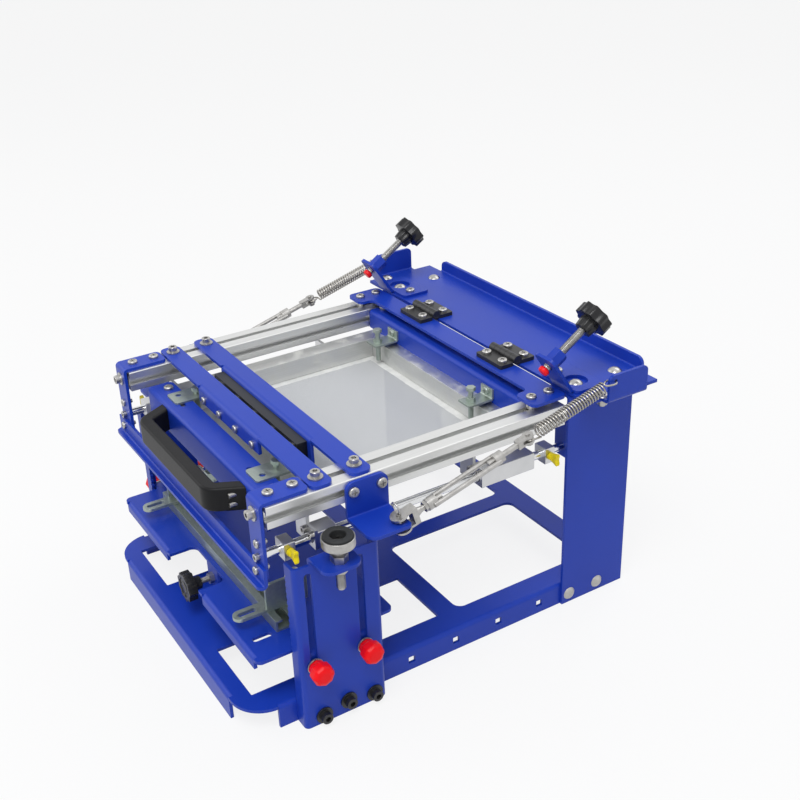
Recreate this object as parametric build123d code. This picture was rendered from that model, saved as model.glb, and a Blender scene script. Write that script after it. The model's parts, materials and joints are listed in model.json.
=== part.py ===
from build123d import *
import math
import os

# Tabletop screen printing press, in millimetres.
# While it is built, X runs across the press, Y from front to back with zero at the front
# bracket screws, and Z up from the ground. Every node is then moved along Y so that the
# finished part has its origin at the bottom centre of its box.

# ---------------------------------------------------------------- driving dimensions
RAIL_PITCH = 300.0          # between the centre lines of the two side rails
HINGE_Y = 293.3             # hinge pins, behind the front bracket screws
DECK_TOP = 233.0            # top of the rear tray above the ground
SHEET = 3.0                 # all bent blue sheet
BEND = 1.5                  # inside radius of a bend
BASE_TOP = 23.5
BASE_FRONT = -45.0
BASE_MARGIN = 10.0          # base side face outside the rail centre line
BASE_REAR_GAP = 75.7        # base rear edge behind the hinge pins
TRAY_DEPTH = 87.7           # tray rear face behind the hinge pins
TRAY_RIM = 27.0             # tray side walls, from the underside
TRAY_BACK_RIM = 15.0

RAIL_WIDTH = 30.0
RAIL_HEIGHT = 20.0
RAIL_TOP = 223.5
RAIL_FRONT = -9.5
RAIL_REAR_GAP = 5.3         # rail end in front of the hinge pins
SLOT_MOUTH = 6.2
SLOT_LIP = 2.0
SLOT_CAVITY = 10.0
SLOT_DEPTH = 3.4

SHAFT_RADIUS = 4.0
SHAFT_OUT = 2.0             # shaft outside the rail centre line
SHAFT_Z = 173.5
RUNNING = 0.05              # radial clearance of a shaft in its bearing
FREE = 0.3                  # gap between pieces that pass each other
HOLE_PLAY = 0.3             # radial clearance of a screw in a plain hole
TAP_PLAY = 0.15             # radial clearance of a screw in its nut or tapped hole

TOWER_HEIGHT = 165.0
TOWER_FRONT = 3.0
TOWER_LENGTH = 81.0
TOWER_STANDOFF = 12.5       # spacer tubes between the base and the tower web
TOWER_SLOT_WIDTH = 6.8
TOWER_SLOT_LOW = 55.0
TOWER_SLOT_HIGH = 158.0
TOWER_TAB_OUT = 30.0
TOWER_TAB_START = 18.0
TOWER_TAB_LENGTH = 35.0

PLATFORM_TOP = 75.0
PLATFORM_FRONT = -28.0
PLATFORM_REAR = 105.0
PLATFORM_SKIRT = 22.0
KNOB_Z = 64.8
KNOB_YS = (16.0, 64.5)

SPRING_OUT = 45.0           # spring plane outside the rail centre line
HOOK_BACK = 24.7            # hook hole behind the hinge pins
HOOK_Z = 251.5
ANCHOR_Y = 94.0             # jaw pin on the anchor bracket
ANCHOR_Z = 188.5            # middle of the anchor bracket's flange
WIRE = 1.7
COIL_RADIUS = 5.4           # to the middle of the wire
COIL_TURNS = 26
COIL_PITCH = 2.9
HOOK_RADIUS = 5.6
HOOK_NECK = 2.2

PIN_RADIUS = 2.5            # hinge pins
M4 = 2.0
M5 = 2.5
M6 = 3.0
M8 = 4.0

# ---------------------------------------------------------------- places that follow
RAIL_X = RAIL_PITCH / 2
BASE_X = RAIL_X + BASE_MARGIN
BASE_REAR = HINGE_Y + BASE_REAR_GAP
RAIL_BOTTOM = RAIL_TOP - RAIL_HEIGHT
RAIL_REAR = HINGE_Y - RAIL_REAR_GAP
RAIL_OUTER = RAIL_X + RAIL_WIDTH / 2
SHAFT_X = RAIL_X + SHAFT_OUT
TOWER_REAR = TOWER_FRONT + TOWER_LENGTH
WEB_INNER = BASE_X + TOWER_STANDOFF
WEB_OUTER = WEB_INNER + SHEET
SPRING_X = RAIL_X + SPRING_OUT
HOOK_Y = HINGE_Y + HOOK_BACK
TRAY_REAR = HINGE_Y + TRAY_DEPTH
TRAY_BOTTOM = DECK_TOP - SHEET
TRAY_FRONT = HINGE_Y + 2.3
TRAY_X = SPRING_X + SHEET / 2
SIDES = (-1, 1)
UP = Location((0, 0, 0))
DOWN = Location((0, 0, 0), (180, 0, 0))
FORWARD = Location((0, 0, 0), (90, 0, 0))       # local Z points to the front
BACKWARD = Location((0, 0, 0), (-90, 0, 0))
RIGHT = Location((0, 0, 0), (0, 90, 0))
LEFT = Location((0, 0, 0), (0, -90, 0))


# ---------------------------------------------------------------- small makers
def box(x, y, z):
    """A box from three (low, high) pairs."""
    size = [abs(b - a) for a, b in (x, y, z)]
    middle = [(a + b) / 2 for a, b in (x, y, z)]
    return Pos(*middle) * Box(*size)


def disc(radius, length, place=UP):
    """A cylinder that starts at place and runs along its Z."""
    return place * Cylinder(radius, length, align=(Align.CENTER, Align.CENTER, Align.MIN))


def ring(outer, inner, length, place=UP):
    return disc(outer, length, place) - disc(inner, length, place)


def outward(side):
    """Local Z points away from the middle of the press."""
    return RIGHT if side > 0 else LEFT


def between(start, end):
    """A place at start whose Z points to end."""
    return Plane(origin=start, z_dir=Vector(*end) - Vector(*start)).location


def prism(outline, low, high):
    """An outline drawn in XY, raised from low to high."""
    return Pos(0, 0, low) * extrude(outline, high - low)


def along_x(profile, x0, x1):
    """A profile drawn as (Y, Z), run from x0 to x1."""
    return Pos(x0, 0, 0) * extrude(Plane.YZ * profile, x1 - x0)


def along_y(profile, y0, y1):
    """A profile drawn as (X, Z), run from y0 to y1."""
    return Pos(0, y1, 0) * extrude(Plane.XZ * profile, y1 - y0)


def round_corners(outline, points, radius):
    """Rounds the corners of a flat outline that lie nearest to the points."""
    for point in points:
        corner = outline.vertices().sort_by_distance(Vector(*point))[0]
        outline = fillet(corner, radius)
    return outline


def bent(path, thickness=SHEET, bend=BEND):
    """The section of a sheet bent along path, lying to the left of it."""
    def left_of(a, b):
        length = math.dist(a, b)
        return (-(b[1] - a[1]) / length, (b[0] - a[0]) / length)

    normals = [left_of(a, b) for a, b in zip(path, path[1:])]
    other = [tuple(p + n * thickness for p, n in zip(path[0], normals[0]))]
    corners = []
    for i in range(1, len(path) - 1):
        a, b = normals[i - 1], normals[i]
        share = 1 + a[0] * b[0] + a[1] * b[1]
        shift = [(a[k] + b[k]) / share * thickness for k in (0, 1)]
        other.append((path[i][0] + shift[0], path[i][1] + shift[1]))
        turns_left = a[0] * b[1] - a[1] * b[0] > 0
        outside, inside = (path[i], other[-1]) if turns_left else (other[-1], path[i])
        corners.append((outside, bend + thickness))
        corners.append((inside, bend))
    other.append(tuple(p + n * thickness for p, n in zip(path[-1], normals[-1])))
    face = make_face(Polyline(*path, *reversed(other), close=True))
    for point, radius in corners:
        face = round_corners(face, [point], radius)
    return face


def rounded_plate(x, y, radius):
    """A flat rectangle with all four corners rounded."""
    outline = Pos((x[0] + x[1]) / 2, (y[0] + y[1]) / 2) * Rectangle(x[1] - x[0], y[1] - y[0])
    return fillet(outline.vertices(), radius)


def slot_outline(length, width):
    """A slot along X, measured over its round ends."""
    return SlotOverall(length, width)


def both_sides(shape):
    """The right-hand piece and its mirror image."""
    return [mirror(shape, about=Plane.YZ), shape]


def group(pieces):
    solids = []
    for piece in pieces:
        solids.extend(piece.solids())
    return Compound(solids)


# ---------------------------------------------------------------- fasteners
# Each stands on z = 0 with its head above and its shank below.
def hexagon(across_flats):
    return RegularPolygon(across_flats / math.sqrt(3), 6)


def socket_screw(radius, reach, washer=0.0):
    """A cap screw with a hexagon socket; its washer is a loose ring under the head."""
    head = disc(radius * 1.7, radius * 2, Pos(0, 0, washer))
    head = chamfer(head.edges().sort_by(Axis.Z)[-1], radius * 0.12)
    head -= Pos(0, 0, washer + radius) * extrude(hexagon(radius * 1.6), radius * 1.1)
    screw = head + disc(radius, reach + washer, Pos(0, 0, -reach))
    if washer:
        return [screw, ring(radius * 2.6, radius + TAP_PLAY, washer)]
    return [screw]


def dome_bolt(radius, reach):
    """A round-headed bolt with no drive."""
    head_radius = radius * 2.2
    rise = radius * 1.1
    ball = (head_radius ** 2 + rise ** 2) / (2 * rise)
    head = Pos(0, 0, rise - ball) * Sphere(ball) & disc(head_radius, rise)
    return [head + disc(radius, reach, Pos(0, 0, -reach))]


def pan_screw(radius, reach):
    """A pan head with a cross recess."""
    head = disc(radius * 1.9, radius * 1.2)
    head = fillet(head.edges().sort_by(Axis.Z)[-1], radius * 0.55)
    for turn in (0, 90):
        head -= Pos(0, 0, radius * 1.2) * Rot(0, 0, turn) * Box(radius * 2, radius * 0.42, radius * 1.1)
    return [head + disc(radius, reach, Pos(0, 0, -reach))]


def nut(radius, hole_play=TAP_PLAY):
    """A plain nut, from z = 0 up."""
    body = extrude(hexagon(radius * 3.2), radius * 1.6)
    return body - disc(radius + hole_play, radius * 1.6)


def placed(pieces, *places):
    """Copies of some pieces at each place."""
    return [place * piece for place in places for piece in pieces]


def drill(shape, radius, length, *places):
    """Holes centred on each place, along its Z."""
    for place in places:
        shape -= place * Cylinder(radius, length)
    return shape


def star_knob(radius, thickness, hub_radius, hub_length, bore, lobes=8):
    """A lobed hand knob; its hub starts at z = 0 and its wheel lies above."""
    wheel = disc(radius, thickness, Pos(0, 0, hub_length))
    for i in range(lobes):
        place = Rot(0, 0, 360 / lobes * i) * Pos(radius * 1.06, 0, hub_length)
        wheel -= disc(radius * 0.2, thickness, place)
    wheel = chamfer(wheel.edges().filter_by(Plane.XY).group_by(Axis.Z)[-1], thickness * 0.1)
    hub = Cone(hub_radius, hub_radius * 1.25, hub_length, align=(Align.CENTER, Align.CENTER, Align.MIN))
    top = Pos(0, 0, hub_length + thickness) * Cylinder(radius * 0.5, 1.6)
    return wheel + hub - disc(bore, hub_length + thickness * 0.6) - top


NODES = {}


def add(name, *pieces):
    NODES[name] = group(pieces)


# ---------------------------------------------------------------- base plate
FRONT_CORNER = 32.0
RIB_HALF = 10.0
WINDOW_X = 135.0
REAR_WINDOW = (189.0, 344.5)
FRONT_WINDOW_X = (60.0, 133.5)
FRONT_WINDOW = (-27.0, 167.6)
SQUARE_HOLE = 7.0
SQUARE_HOLES = 4
SQUARE_HOLE_Y = 121.0
SQUARE_HOLE_STEP = 49.0
SQUARE_HOLE_Z = 11.0
LEG_FRONT = HINGE_Y + 0.7
LEG_REAR = BASE_REAR + 1.5
LEG_BOLTS = ((LEG_FRONT + 9, 10.0), (LEG_FRONT + 44, 10.0))
TOWER_BOLTS = ((TOWER_FRONT + 18, 8.5), (TOWER_FRONT + 42.5, 13.0), (TOWER_FRONT + 68.5, 8.5))


def side_holes(side, positions):
    """Places along X through one side face, from (Y, Z) pairs."""
    return [Pos(side * BASE_X, y, z) * outward(side) for y, z in positions]


def make_base_plate():
    side_start = BASE_FRONT + FRONT_CORNER - 1
    section = bent([(-BASE_X, 0), (-BASE_X, BASE_TOP), (BASE_X, BASE_TOP), (BASE_X, 0)][::-1])
    plate = along_y(section, side_start, BASE_REAR)
    lobe = Rectangle(2 * BASE_X, FRONT_CORNER + 20, align=(Align.CENTER, Align.MIN))
    lobe = Pos(0, BASE_FRONT) * fillet(lobe.vertices().group_by(Axis.Y)[0], FRONT_CORNER)
    lobe = prism(lobe, BASE_TOP - SHEET, BASE_TOP)
    lobe &= box((-BASE_X, BASE_X), (BASE_FRONT, side_start), (0, BASE_TOP))
    front = bent([(BASE_FRONT, 0), (BASE_FRONT, BASE_TOP), (BASE_FRONT + 12, BASE_TOP)][::-1])
    front_half = BASE_X - FRONT_CORNER - 3
    skirt_room = box((-front_half, front_half), (BASE_FRONT, BASE_FRONT + SHEET + BEND), (0, BASE_TOP))
    plate += (lobe - skirt_room) + along_x(front, -front_half, front_half)
    for side in SIDES:
        rear = rounded_plate(sorted((side * RIB_HALF, side * WINDOW_X)), REAR_WINDOW, 9)
        front = rounded_plate(sorted(side * x for x in FRONT_WINDOW_X), FRONT_WINDOW, 1)
        plate -= prism(rear + front, BASE_TOP - 2 * SHEET, BASE_TOP + SHEET)
        for i in range(SQUARE_HOLES):
            y = SQUARE_HOLE_Y + SQUARE_HOLE_STEP * i
            plate -= Pos(side * BASE_X, y, SQUARE_HOLE_Z) * Box(4 * SHEET, SQUARE_HOLE, SQUARE_HOLE)
        holes = side_holes(side, LEG_BOLTS + TOWER_BOLTS)
        plate = drill(plate, M6 + HOLE_PLAY, 5 * SHEET, *holes)
    return plate


add("base_plate", make_base_plate())

# ---------------------------------------------------------------- rear legs and tray
LEG_TAB = 28.0
TRAY_BOLTS = ((RAIL_X + 1, HINGE_Y + 64.7), (RAIL_X, HINGE_Y + 18.7))
TRAY_EDGE_BOLT = (SPRING_X - 12, HINGE_Y + 21.7)
RIM_FRONT = HINGE_Y + 17.5
RIM_REAR = HINGE_Y + 62.0
BACK_RIM_X = RAIL_X + 15
TRAY_RIM_CORNER = 7.0
HOOK_HOLE = 1.6
LIMIT_X = RAIL_X + 2
LIMIT_ANGLE = 33.0
LIMIT_TIP = (HINGE_Y - 22.5, DECK_TOP + 22.5)
DOUBLER_SCREW = (RAIL_X - 24, HINGE_Y + 17)


def make_leg():
    section = bent([(BASE_X + SHEET, 0), (BASE_X + SHEET, TRAY_BOTTOM),
                    (BASE_X + SHEET - LEG_TAB, TRAY_BOTTOM)])
    leg = along_y(section, LEG_FRONT, LEG_REAR)
    leg = drill(leg, M6 + HOLE_PLAY, 5 * SHEET, *side_holes(1, LEG_BOLTS))
    return drill(leg, M6 + HOLE_PLAY, 5 * SHEET, *[Pos(x, y, TRAY_BOTTOM) for x, y in TRAY_BOLTS])


def make_tray():
    top = DECK_TOP - SHEET + TRAY_RIM
    section = bent([(-TRAY_X, top), (-TRAY_X, TRAY_BOTTOM), (TRAY_X, TRAY_BOTTOM), (TRAY_X, top)])
    tray = along_y(section, TRAY_FRONT, TRAY_REAR - SHEET - BEND)
    rim_top = TRAY_BOTTOM + TRAY_BACK_RIM
    back = bent([(TRAY_REAR - 20, TRAY_BOTTOM), (TRAY_REAR, TRAY_BOTTOM), (TRAY_REAR, rim_top)])
    rim = Pos(0, rim_top - 1.5 * TRAY_BACK_RIM) * Rectangle(2 * BACK_RIM_X, 3 * TRAY_BACK_RIM)
    rim = fillet(rim.vertices(), TRAY_RIM_CORNER)
    tray += along_x(back, -BACK_RIM_X, BACK_RIM_X) & along_y(rim, 0, TRAY_REAR + 1)
    above = (DECK_TOP + BEND, top + 1)
    for side in SIDES:
        edge = sorted((side * (TRAY_X - 3 * SHEET), side * (TRAY_X + 1)))
        rim = fillet(Rectangle(RIM_REAR - RIM_FRONT, 2 * TRAY_RIM).vertices(), 5)
        rim = Pos((RIM_REAR + RIM_FRONT) / 2, top - TRAY_RIM) * rim
        waste = box(edge, (TRAY_FRONT - 1, TRAY_REAR), above) - along_x(rim, *edge)
        tray -= waste
        corner = box(edge, (TRAY_FRONT - 1, RIM_FRONT), (TRAY_BOTTOM, top))
        tray -= corner
        rear_corner = box(edge, (RIM_REAR, TRAY_REAR), (TRAY_BOTTOM, top))
        tray -= rear_corner
        hook = Pos(side * SPRING_X, HOOK_Y, HOOK_Z) * outward(side)
        tray = drill(tray, HOOK_HOLE, 4 * SHEET, hook)
        for x, y in TRAY_BOLTS + (TRAY_EDGE_BOLT,):
            tray = drill(tray, M6 + HOLE_PLAY, 3 * SHEET, Pos(side * x, y, DECK_TOP))
        x, y = DOUBLER_SCREW
        tray = drill(tray, M5 + HOLE_PLAY, 3 * SHEET, Pos(side * x, y, DECK_TOP))
        for x in HINGE_SCREW_XS:
            tray = drill(tray, M5 + HOLE_PLAY, 3 * SHEET, Pos(side * x, HINGE_SCREW_REAR, DECK_TOP))
    return tray


# ---------------------------------------------------------------- black leaf hinges
HINGE_X = 68.5
HINGE_SIZE = 40.0
HINGE_PITCH = 25.0
LEAF = 4.0
KNUCKLE = 4.6
HINGE_Z = DECK_TOP + KNUCKLE
KNUCKLES = 5
KNUCKLE_GAP = 0.3
HINGE_SCREW_XS = (HINGE_X - HINGE_PITCH / 2, HINGE_X + HINGE_PITCH / 2)
HINGE_SCREW_REAR = HINGE_Y + HINGE_PITCH / 2
HINGE_SCREW_FRONT = HINGE_Y - HINGE_PITCH / 2
CROSS_REAR = HINGE_Y - 2.3


def make_leaf(direction):
    """One leaf; direction is +1 for the rear leaf, with the odd knuckles."""
    far = HINGE_Y + direction * HINGE_SIZE / 2
    near = HINGE_Y + direction * (KNUCKLE + KNUCKLE_GAP)
    x = (HINGE_X - HINGE_SIZE / 2, HINGE_X + HINGE_SIZE / 2)
    y = (min(near, far), max(near, far))
    plate = rounded_plate(x, y, 1.5)
    leaf = prism(plate, DECK_TOP, DECK_TOP + LEAF)
    step = HINGE_SIZE / KNUCKLES
    for i in range(KNUCKLES):
        if (i % 2 == 0) != (direction > 0):
            continue
        x0 = x[0] + i * step + KNUCKLE_GAP / 2
        x1 = x[0] + (i + 1) * step - KNUCKLE_GAP / 2
        barrel = disc(KNUCKLE, x1 - x0, Pos(x0, HINGE_Y, HINGE_Z) * RIGHT)
        neck = box((x0, x1), sorted((HINGE_Y, near + direction)), (DECK_TOP + 0.3, DECK_TOP + LEAF))
        leaf += barrel + neck
    leaf -= disc(PIN_RADIUS + RUNNING, 2 * HINGE_SIZE, Pos(HINGE_X - HINGE_SIZE, HINGE_Y, HINGE_Z) * RIGHT)
    for sx in HINGE_SCREW_XS:
        sy = HINGE_Y + direction * HINGE_PITCH / 2
        leaf = drill(leaf, M5 + HOLE_PLAY, 4 * LEAF, Pos(sx, sy, DECK_TOP))
    return leaf


leg = make_leg()
add("rear_legs", *both_sides(leg))
add("rear_tray", make_tray())
pin_length = HINGE_SIZE - 2 * KNUCKLE_GAP
hinge_pin = disc(PIN_RADIUS, pin_length, Pos(HINGE_X - pin_length / 2, HINGE_Y, HINGE_Z) * RIGHT)
add("hinge_leaves_fixed", *both_sides(make_leaf(1)), *both_sides(hinge_pin))
add("hinge_leaves_moving", *both_sides(make_leaf(-1)))

# ---------------------------------------------------------------- opening-limit brackets
DOUBLER_X = (RAIL_X - 33, RAIL_X + 20)
DOUBLER_Y = (TRAY_FRONT + 1.5, TRAY_FRONT + 34)
LIMIT_TAB_WIDTH = 26.0
LIMIT_TAB_TOP = 12.0
LIMIT_ROD = 4.0
LIMIT_NUT = 14.0
TIP_REACH = 8.0
LIMIT_DIRECTION = Vector(0, math.cos(math.radians(LIMIT_ANGLE)), math.sin(math.radians(LIMIT_ANGLE)))


def limit_place(distance, side=1):
    """A place on the limit screw's axis, distance above its tip, Z towards the knob."""
    start = Vector(side * LIMIT_X, *LIMIT_TIP) + LIMIT_DIRECTION * distance
    return Plane(origin=start, x_dir=(-1, 0, 0), z_dir=LIMIT_DIRECTION).location


def make_limit_bracket():
    """A doubler on the tray whose front edge is bent up square to the limit screw."""
    low = TIP_REACH
    face = Plane(limit_place(low))
    tab_down = (face.origin.Z - (DECK_TOP + SHEET)) / math.cos(math.radians(LIMIT_ANGLE)) + SHEET
    outline = Pos(0, (LIMIT_TAB_TOP - tab_down) / 2) * Rectangle(LIMIT_TAB_WIDTH, LIMIT_TAB_TOP + tab_down)
    outline = round_corners(outline, [(-99, 99), (99, 99)], 6)
    tab = limit_place(low) * extrude(outline, SHEET)
    tab &= box((0, 400), (0, 600), (DECK_TOP, 400))
    foot = prism(rounded_plate(DOUBLER_X, DOUBLER_Y, 5), DECK_TOP, DECK_TOP + SHEET)
    bracket = foot + tab
    x, y = TRAY_BOLTS[1]
    bracket = drill(bracket, 11, 3 * SHEET, Pos(x, y, DECK_TOP))
    bracket = drill(bracket, M5 + HOLE_PLAY, 3 * SHEET, Pos(*DOUBLER_SCREW, DECK_TOP))
    return drill(bracket, LIMIT_ROD + HOLE_PLAY, 6 * SHEET, limit_place(low))


limit_nut = extrude(hexagon(13), LIMIT_NUT) - disc(LIMIT_ROD + RUNNING, LIMIT_NUT)
bracket = make_limit_bracket()
limit_nut = limit_place(TIP_REACH + SHEET) * limit_nut
add("limit_brackets", *both_sides(bracket), *both_sides(limit_nut))

# ---------------------------------------------------------------- limit screws
TIP_RADIUS = 5.0
LIMIT_ROD_LENGTH = 64.0
for side, name in zip(SIDES, ("left", "right")):
    tip = disc(TIP_RADIUS, 5, limit_place(0, side))
    tip = fillet(tip.edges(), 1.8)
    tip += disc(2.0, 3, limit_place(4.5, side))
    rod = disc(LIMIT_ROD, LIMIT_ROD_LENGTH, limit_place(5.3, side))
    rod -= disc(2.0 + RUNNING, 3, limit_place(4.5, side))
    knob = star_knob(17.5, 11, 8, 10, LIMIT_ROD)
    knob = limit_place(5.3 + LIMIT_ROD_LENGTH - 16, side) * knob
    add("limit_tip_" + name, tip)
    add("limit_screw_" + name, rod + knob)

# ---------------------------------------------------------------- towers
STANDOFF_RADIUS = 5.5
STUD_X = WEB_OUTER + 17.5
STUD_Y = TOWER_FRONT + 34
TOWER_TAB_Z = 170.0
SCALE_STEP = 6.0
SCALE_TEETH = 14


def make_tower():
    section = make_face(Polyline((BASE_X, TOWER_FRONT), (WEB_OUTER, TOWER_FRONT), (WEB_OUTER, TOWER_REAR),
                                 (BASE_X, TOWER_REAR), (BASE_X, TOWER_REAR - SHEET),
                                 (WEB_INNER, TOWER_REAR - SHEET), (WEB_INNER, TOWER_FRONT + SHEET),
                                 (BASE_X, TOWER_FRONT + SHEET), close=True))
    outer = [(WEB_OUTER, TOWER_FRONT), (WEB_OUTER, TOWER_REAR)]
    inner = [(WEB_INNER, TOWER_FRONT + SHEET), (WEB_INNER, TOWER_REAR - SHEET)]
    section = round_corners(section, outer, BEND + SHEET)
    section = round_corners(section, inner, BEND)
    tower = prism(section, 0, TOWER_HEIGHT)
    tab = bent([(WEB_OUTER, TOWER_HEIGHT - 12), (WEB_OUTER, TOWER_TAB_Z),
                (WEB_OUTER + TOWER_TAB_OUT, TOWER_TAB_Z)])
    tab_end = TOWER_TAB_START + TOWER_TAB_LENGTH
    tab = along_y(tab, TOWER_TAB_START, tab_end)
    trim = rounded_plate((WEB_INNER - 40, WEB_OUTER + TOWER_TAB_OUT), (TOWER_TAB_START, tab_end), 9)
    tower += tab & prism(trim, 0, 2 * TOWER_HEIGHT)
    for y in KNOB_YS:
        middle = (TOWER_SLOT_LOW + TOWER_SLOT_HIGH) / 2
        slot = slot_outline(TOWER_SLOT_HIGH - TOWER_SLOT_LOW, TOWER_SLOT_WIDTH)
        cutter = Pos(WEB_INNER - SHEET, y, middle) * extrude(Plane.YZ * Rot(0, 0, 90) * slot, 3 * SHEET)
        tower -= cutter
    for i in range(SCALE_TEETH):
        tooth = Pos(BASE_X, TOWER_FRONT, PLATFORM_TOP + i * SCALE_STEP) * Rot(0, 45, 0)
        tower -= tooth * Box(2.4, 4 * SHEET, 2.4)
    holes = side_holes(1, TOWER_BOLTS)
    tower = drill(tower, M6 + HOLE_PLAY, 8 * SHEET, *[Pos(TOWER_STANDOFF, 0, 0) * h for h in holes])
    return drill(tower, M8 + HOLE_PLAY, 4 * SHEET, Pos(STUD_X, STUD_Y, TOWER_TAB_Z))


tower = make_tower()
add("towers", *both_sides(tower))

# ---------------------------------------------------------------- base fasteners
tower_bolt_set = []
frame_bolt_set = []
for side in SIDES:
    out = outward(side)
    for y, z in TOWER_BOLTS:
        at_web = Pos(side * WEB_OUTER, y, z) * out
        tower_bolt_set += placed(socket_screw(M6, TOWER_STANDOFF + 2 * SHEET + 8, 1.5), at_web)
        at_base = Pos(side * BASE_X, y, z) * out
        tower_bolt_set.append(ring(STANDOFF_RADIUS, M6 + TAP_PLAY, TOWER_STANDOFF, at_base))
        inside = Pos(side * (BASE_X - SHEET), y, z) * outward(-side)
        tower_bolt_set.append(inside * nut(M6))
    for y, z in LEG_BOLTS:
        frame_bolt_set += placed(dome_bolt(M6, 2 * SHEET + 7), Pos(side * (BASE_X + SHEET), y, z) * out)
        frame_bolt_set.append(Pos(side * (BASE_X - SHEET), y, z) * outward(-side) * nut(M6))
    for x, y in TRAY_BOLTS:
        frame_bolt_set += placed(dome_bolt(M6, 2 * SHEET + 7), Pos(side * x, y, DECK_TOP))
        frame_bolt_set.append(Pos(side * x, y, TRAY_BOTTOM - SHEET) * DOWN * nut(M6))
    x, y = TRAY_EDGE_BOLT
    frame_bolt_set += placed(dome_bolt(M6, SHEET + 7), Pos(side * x, y, DECK_TOP))
    frame_bolt_set.append(Pos(side * x, y, TRAY_BOTTOM) * DOWN * nut(M6))
    x, y = DOUBLER_SCREW
    frame_bolt_set += placed(pan_screw(M5, 2 * SHEET + 6), Pos(side * x, y, DECK_TOP + SHEET))
    frame_bolt_set.append(Pos(side * x, y, TRAY_BOTTOM) * DOWN * nut(M5))
    for x in HINGE_SCREW_XS:
        place = Pos(side * x, HINGE_SCREW_REAR, 0)
        frame_bolt_set += placed(pan_screw(M5, LEAF + SHEET + 6), place * Pos(0, 0, DECK_TOP + LEAF))
        frame_bolt_set.append(place * Pos(0, 0, TRAY_BOTTOM) * DOWN * nut(M5))
    at_tab = Pos(side * STUD_X, STUD_Y, 0)
    frame_bolt_set.append(at_tab * Pos(0, 0, TOWER_TAB_Z) * DOWN * nut(M8, RUNNING))
    frame_bolt_set.append(at_tab * Pos(0, 0, TOWER_TAB_Z + SHEET) * nut(M8, RUNNING))
add("tower_bolts", *tower_bolt_set)
add("frame_bolts", *frame_bolt_set)

# ---------------------------------------------------------------- height-stop pads
PAD_RADIUS = 14.0
PAD_HOLE = 6.5
PAD_TOP = 198.0
CUP_HEIGHT = 6.0
STUD_BOTTOM = 146.0
for side, name in zip(SIDES, ("left", "right")):
    at = Pos(side * STUD_X, STUD_Y, 0)
    stud = disc(M8, PAD_TOP - CUP_HEIGHT - 4 - STUD_BOTTOM, at * Pos(0, 0, STUD_BOTTOM))
    cup = ring(PAD_RADIUS, PAD_RADIUS - 1.2, CUP_HEIGHT, at * Pos(0, 0, PAD_TOP - CUP_HEIGHT - 2))
    cup += disc(PAD_RADIUS, 2, at * Pos(0, 0, PAD_TOP - CUP_HEIGHT - 4))
    rubber = ring(PAD_RADIUS - 1.3, PAD_HOLE, CUP_HEIGHT + 2, at * Pos(0, 0, PAD_TOP - CUP_HEIGHT - 2))
    rubber = fillet(rubber.edges().group_by(Axis.Z)[-1], 1.2)
    add("stop_pad_" + name, stud + cup, rubber)

# ---------------------------------------------------------------- height-adjustable platform
PLATFORM_X = BASE_X - 2
NOTCH_X = 35.0
NOTCH_BACK = -1.0
TRACK_FRONT = 4.0
TRACK_WIDTH = 20.0
TRACK_HEIGHT = 11.0
TRACK_HALF = RAIL_X - 20
TRACK_WALL = 2.0
TRACK_MOUTH = 7.0
TRACK_Y = TRACK_FRONT + TRACK_WIDTH / 2
TONGUE_X = RAIL_X - 43
TONGUE_WIDTH = 14.0
STRAP_SCREW_X = TONGUE_X - 1.2
TRACK_SCREW_X = 55.0
EAR_EDGE = 8.0              # ear beyond the roller's axle
TONGUE_TIP = -25.0
ROLLER_RADIUS = 8.0
ROLLER_WIDTH = 9.0
ROLLER_Y = TRACK_FRONT + TRACK_WIDTH + 12
ROLLER_Z = PLATFORM_TOP + TRACK_HEIGHT + 20
EAR_FRONT = TOWER_FRONT + SHEET + 1.5
EAR_REAR = TOWER_REAR - SHEET - 1.5
SKIRT_OUTER = WEB_INNER - FREE
PLATFORM_SLOT_X = RAIL_X - 22
PLATFORM_KNOB_Z = PLATFORM_TOP - 17
KNOB_REACH = 18.0


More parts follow.
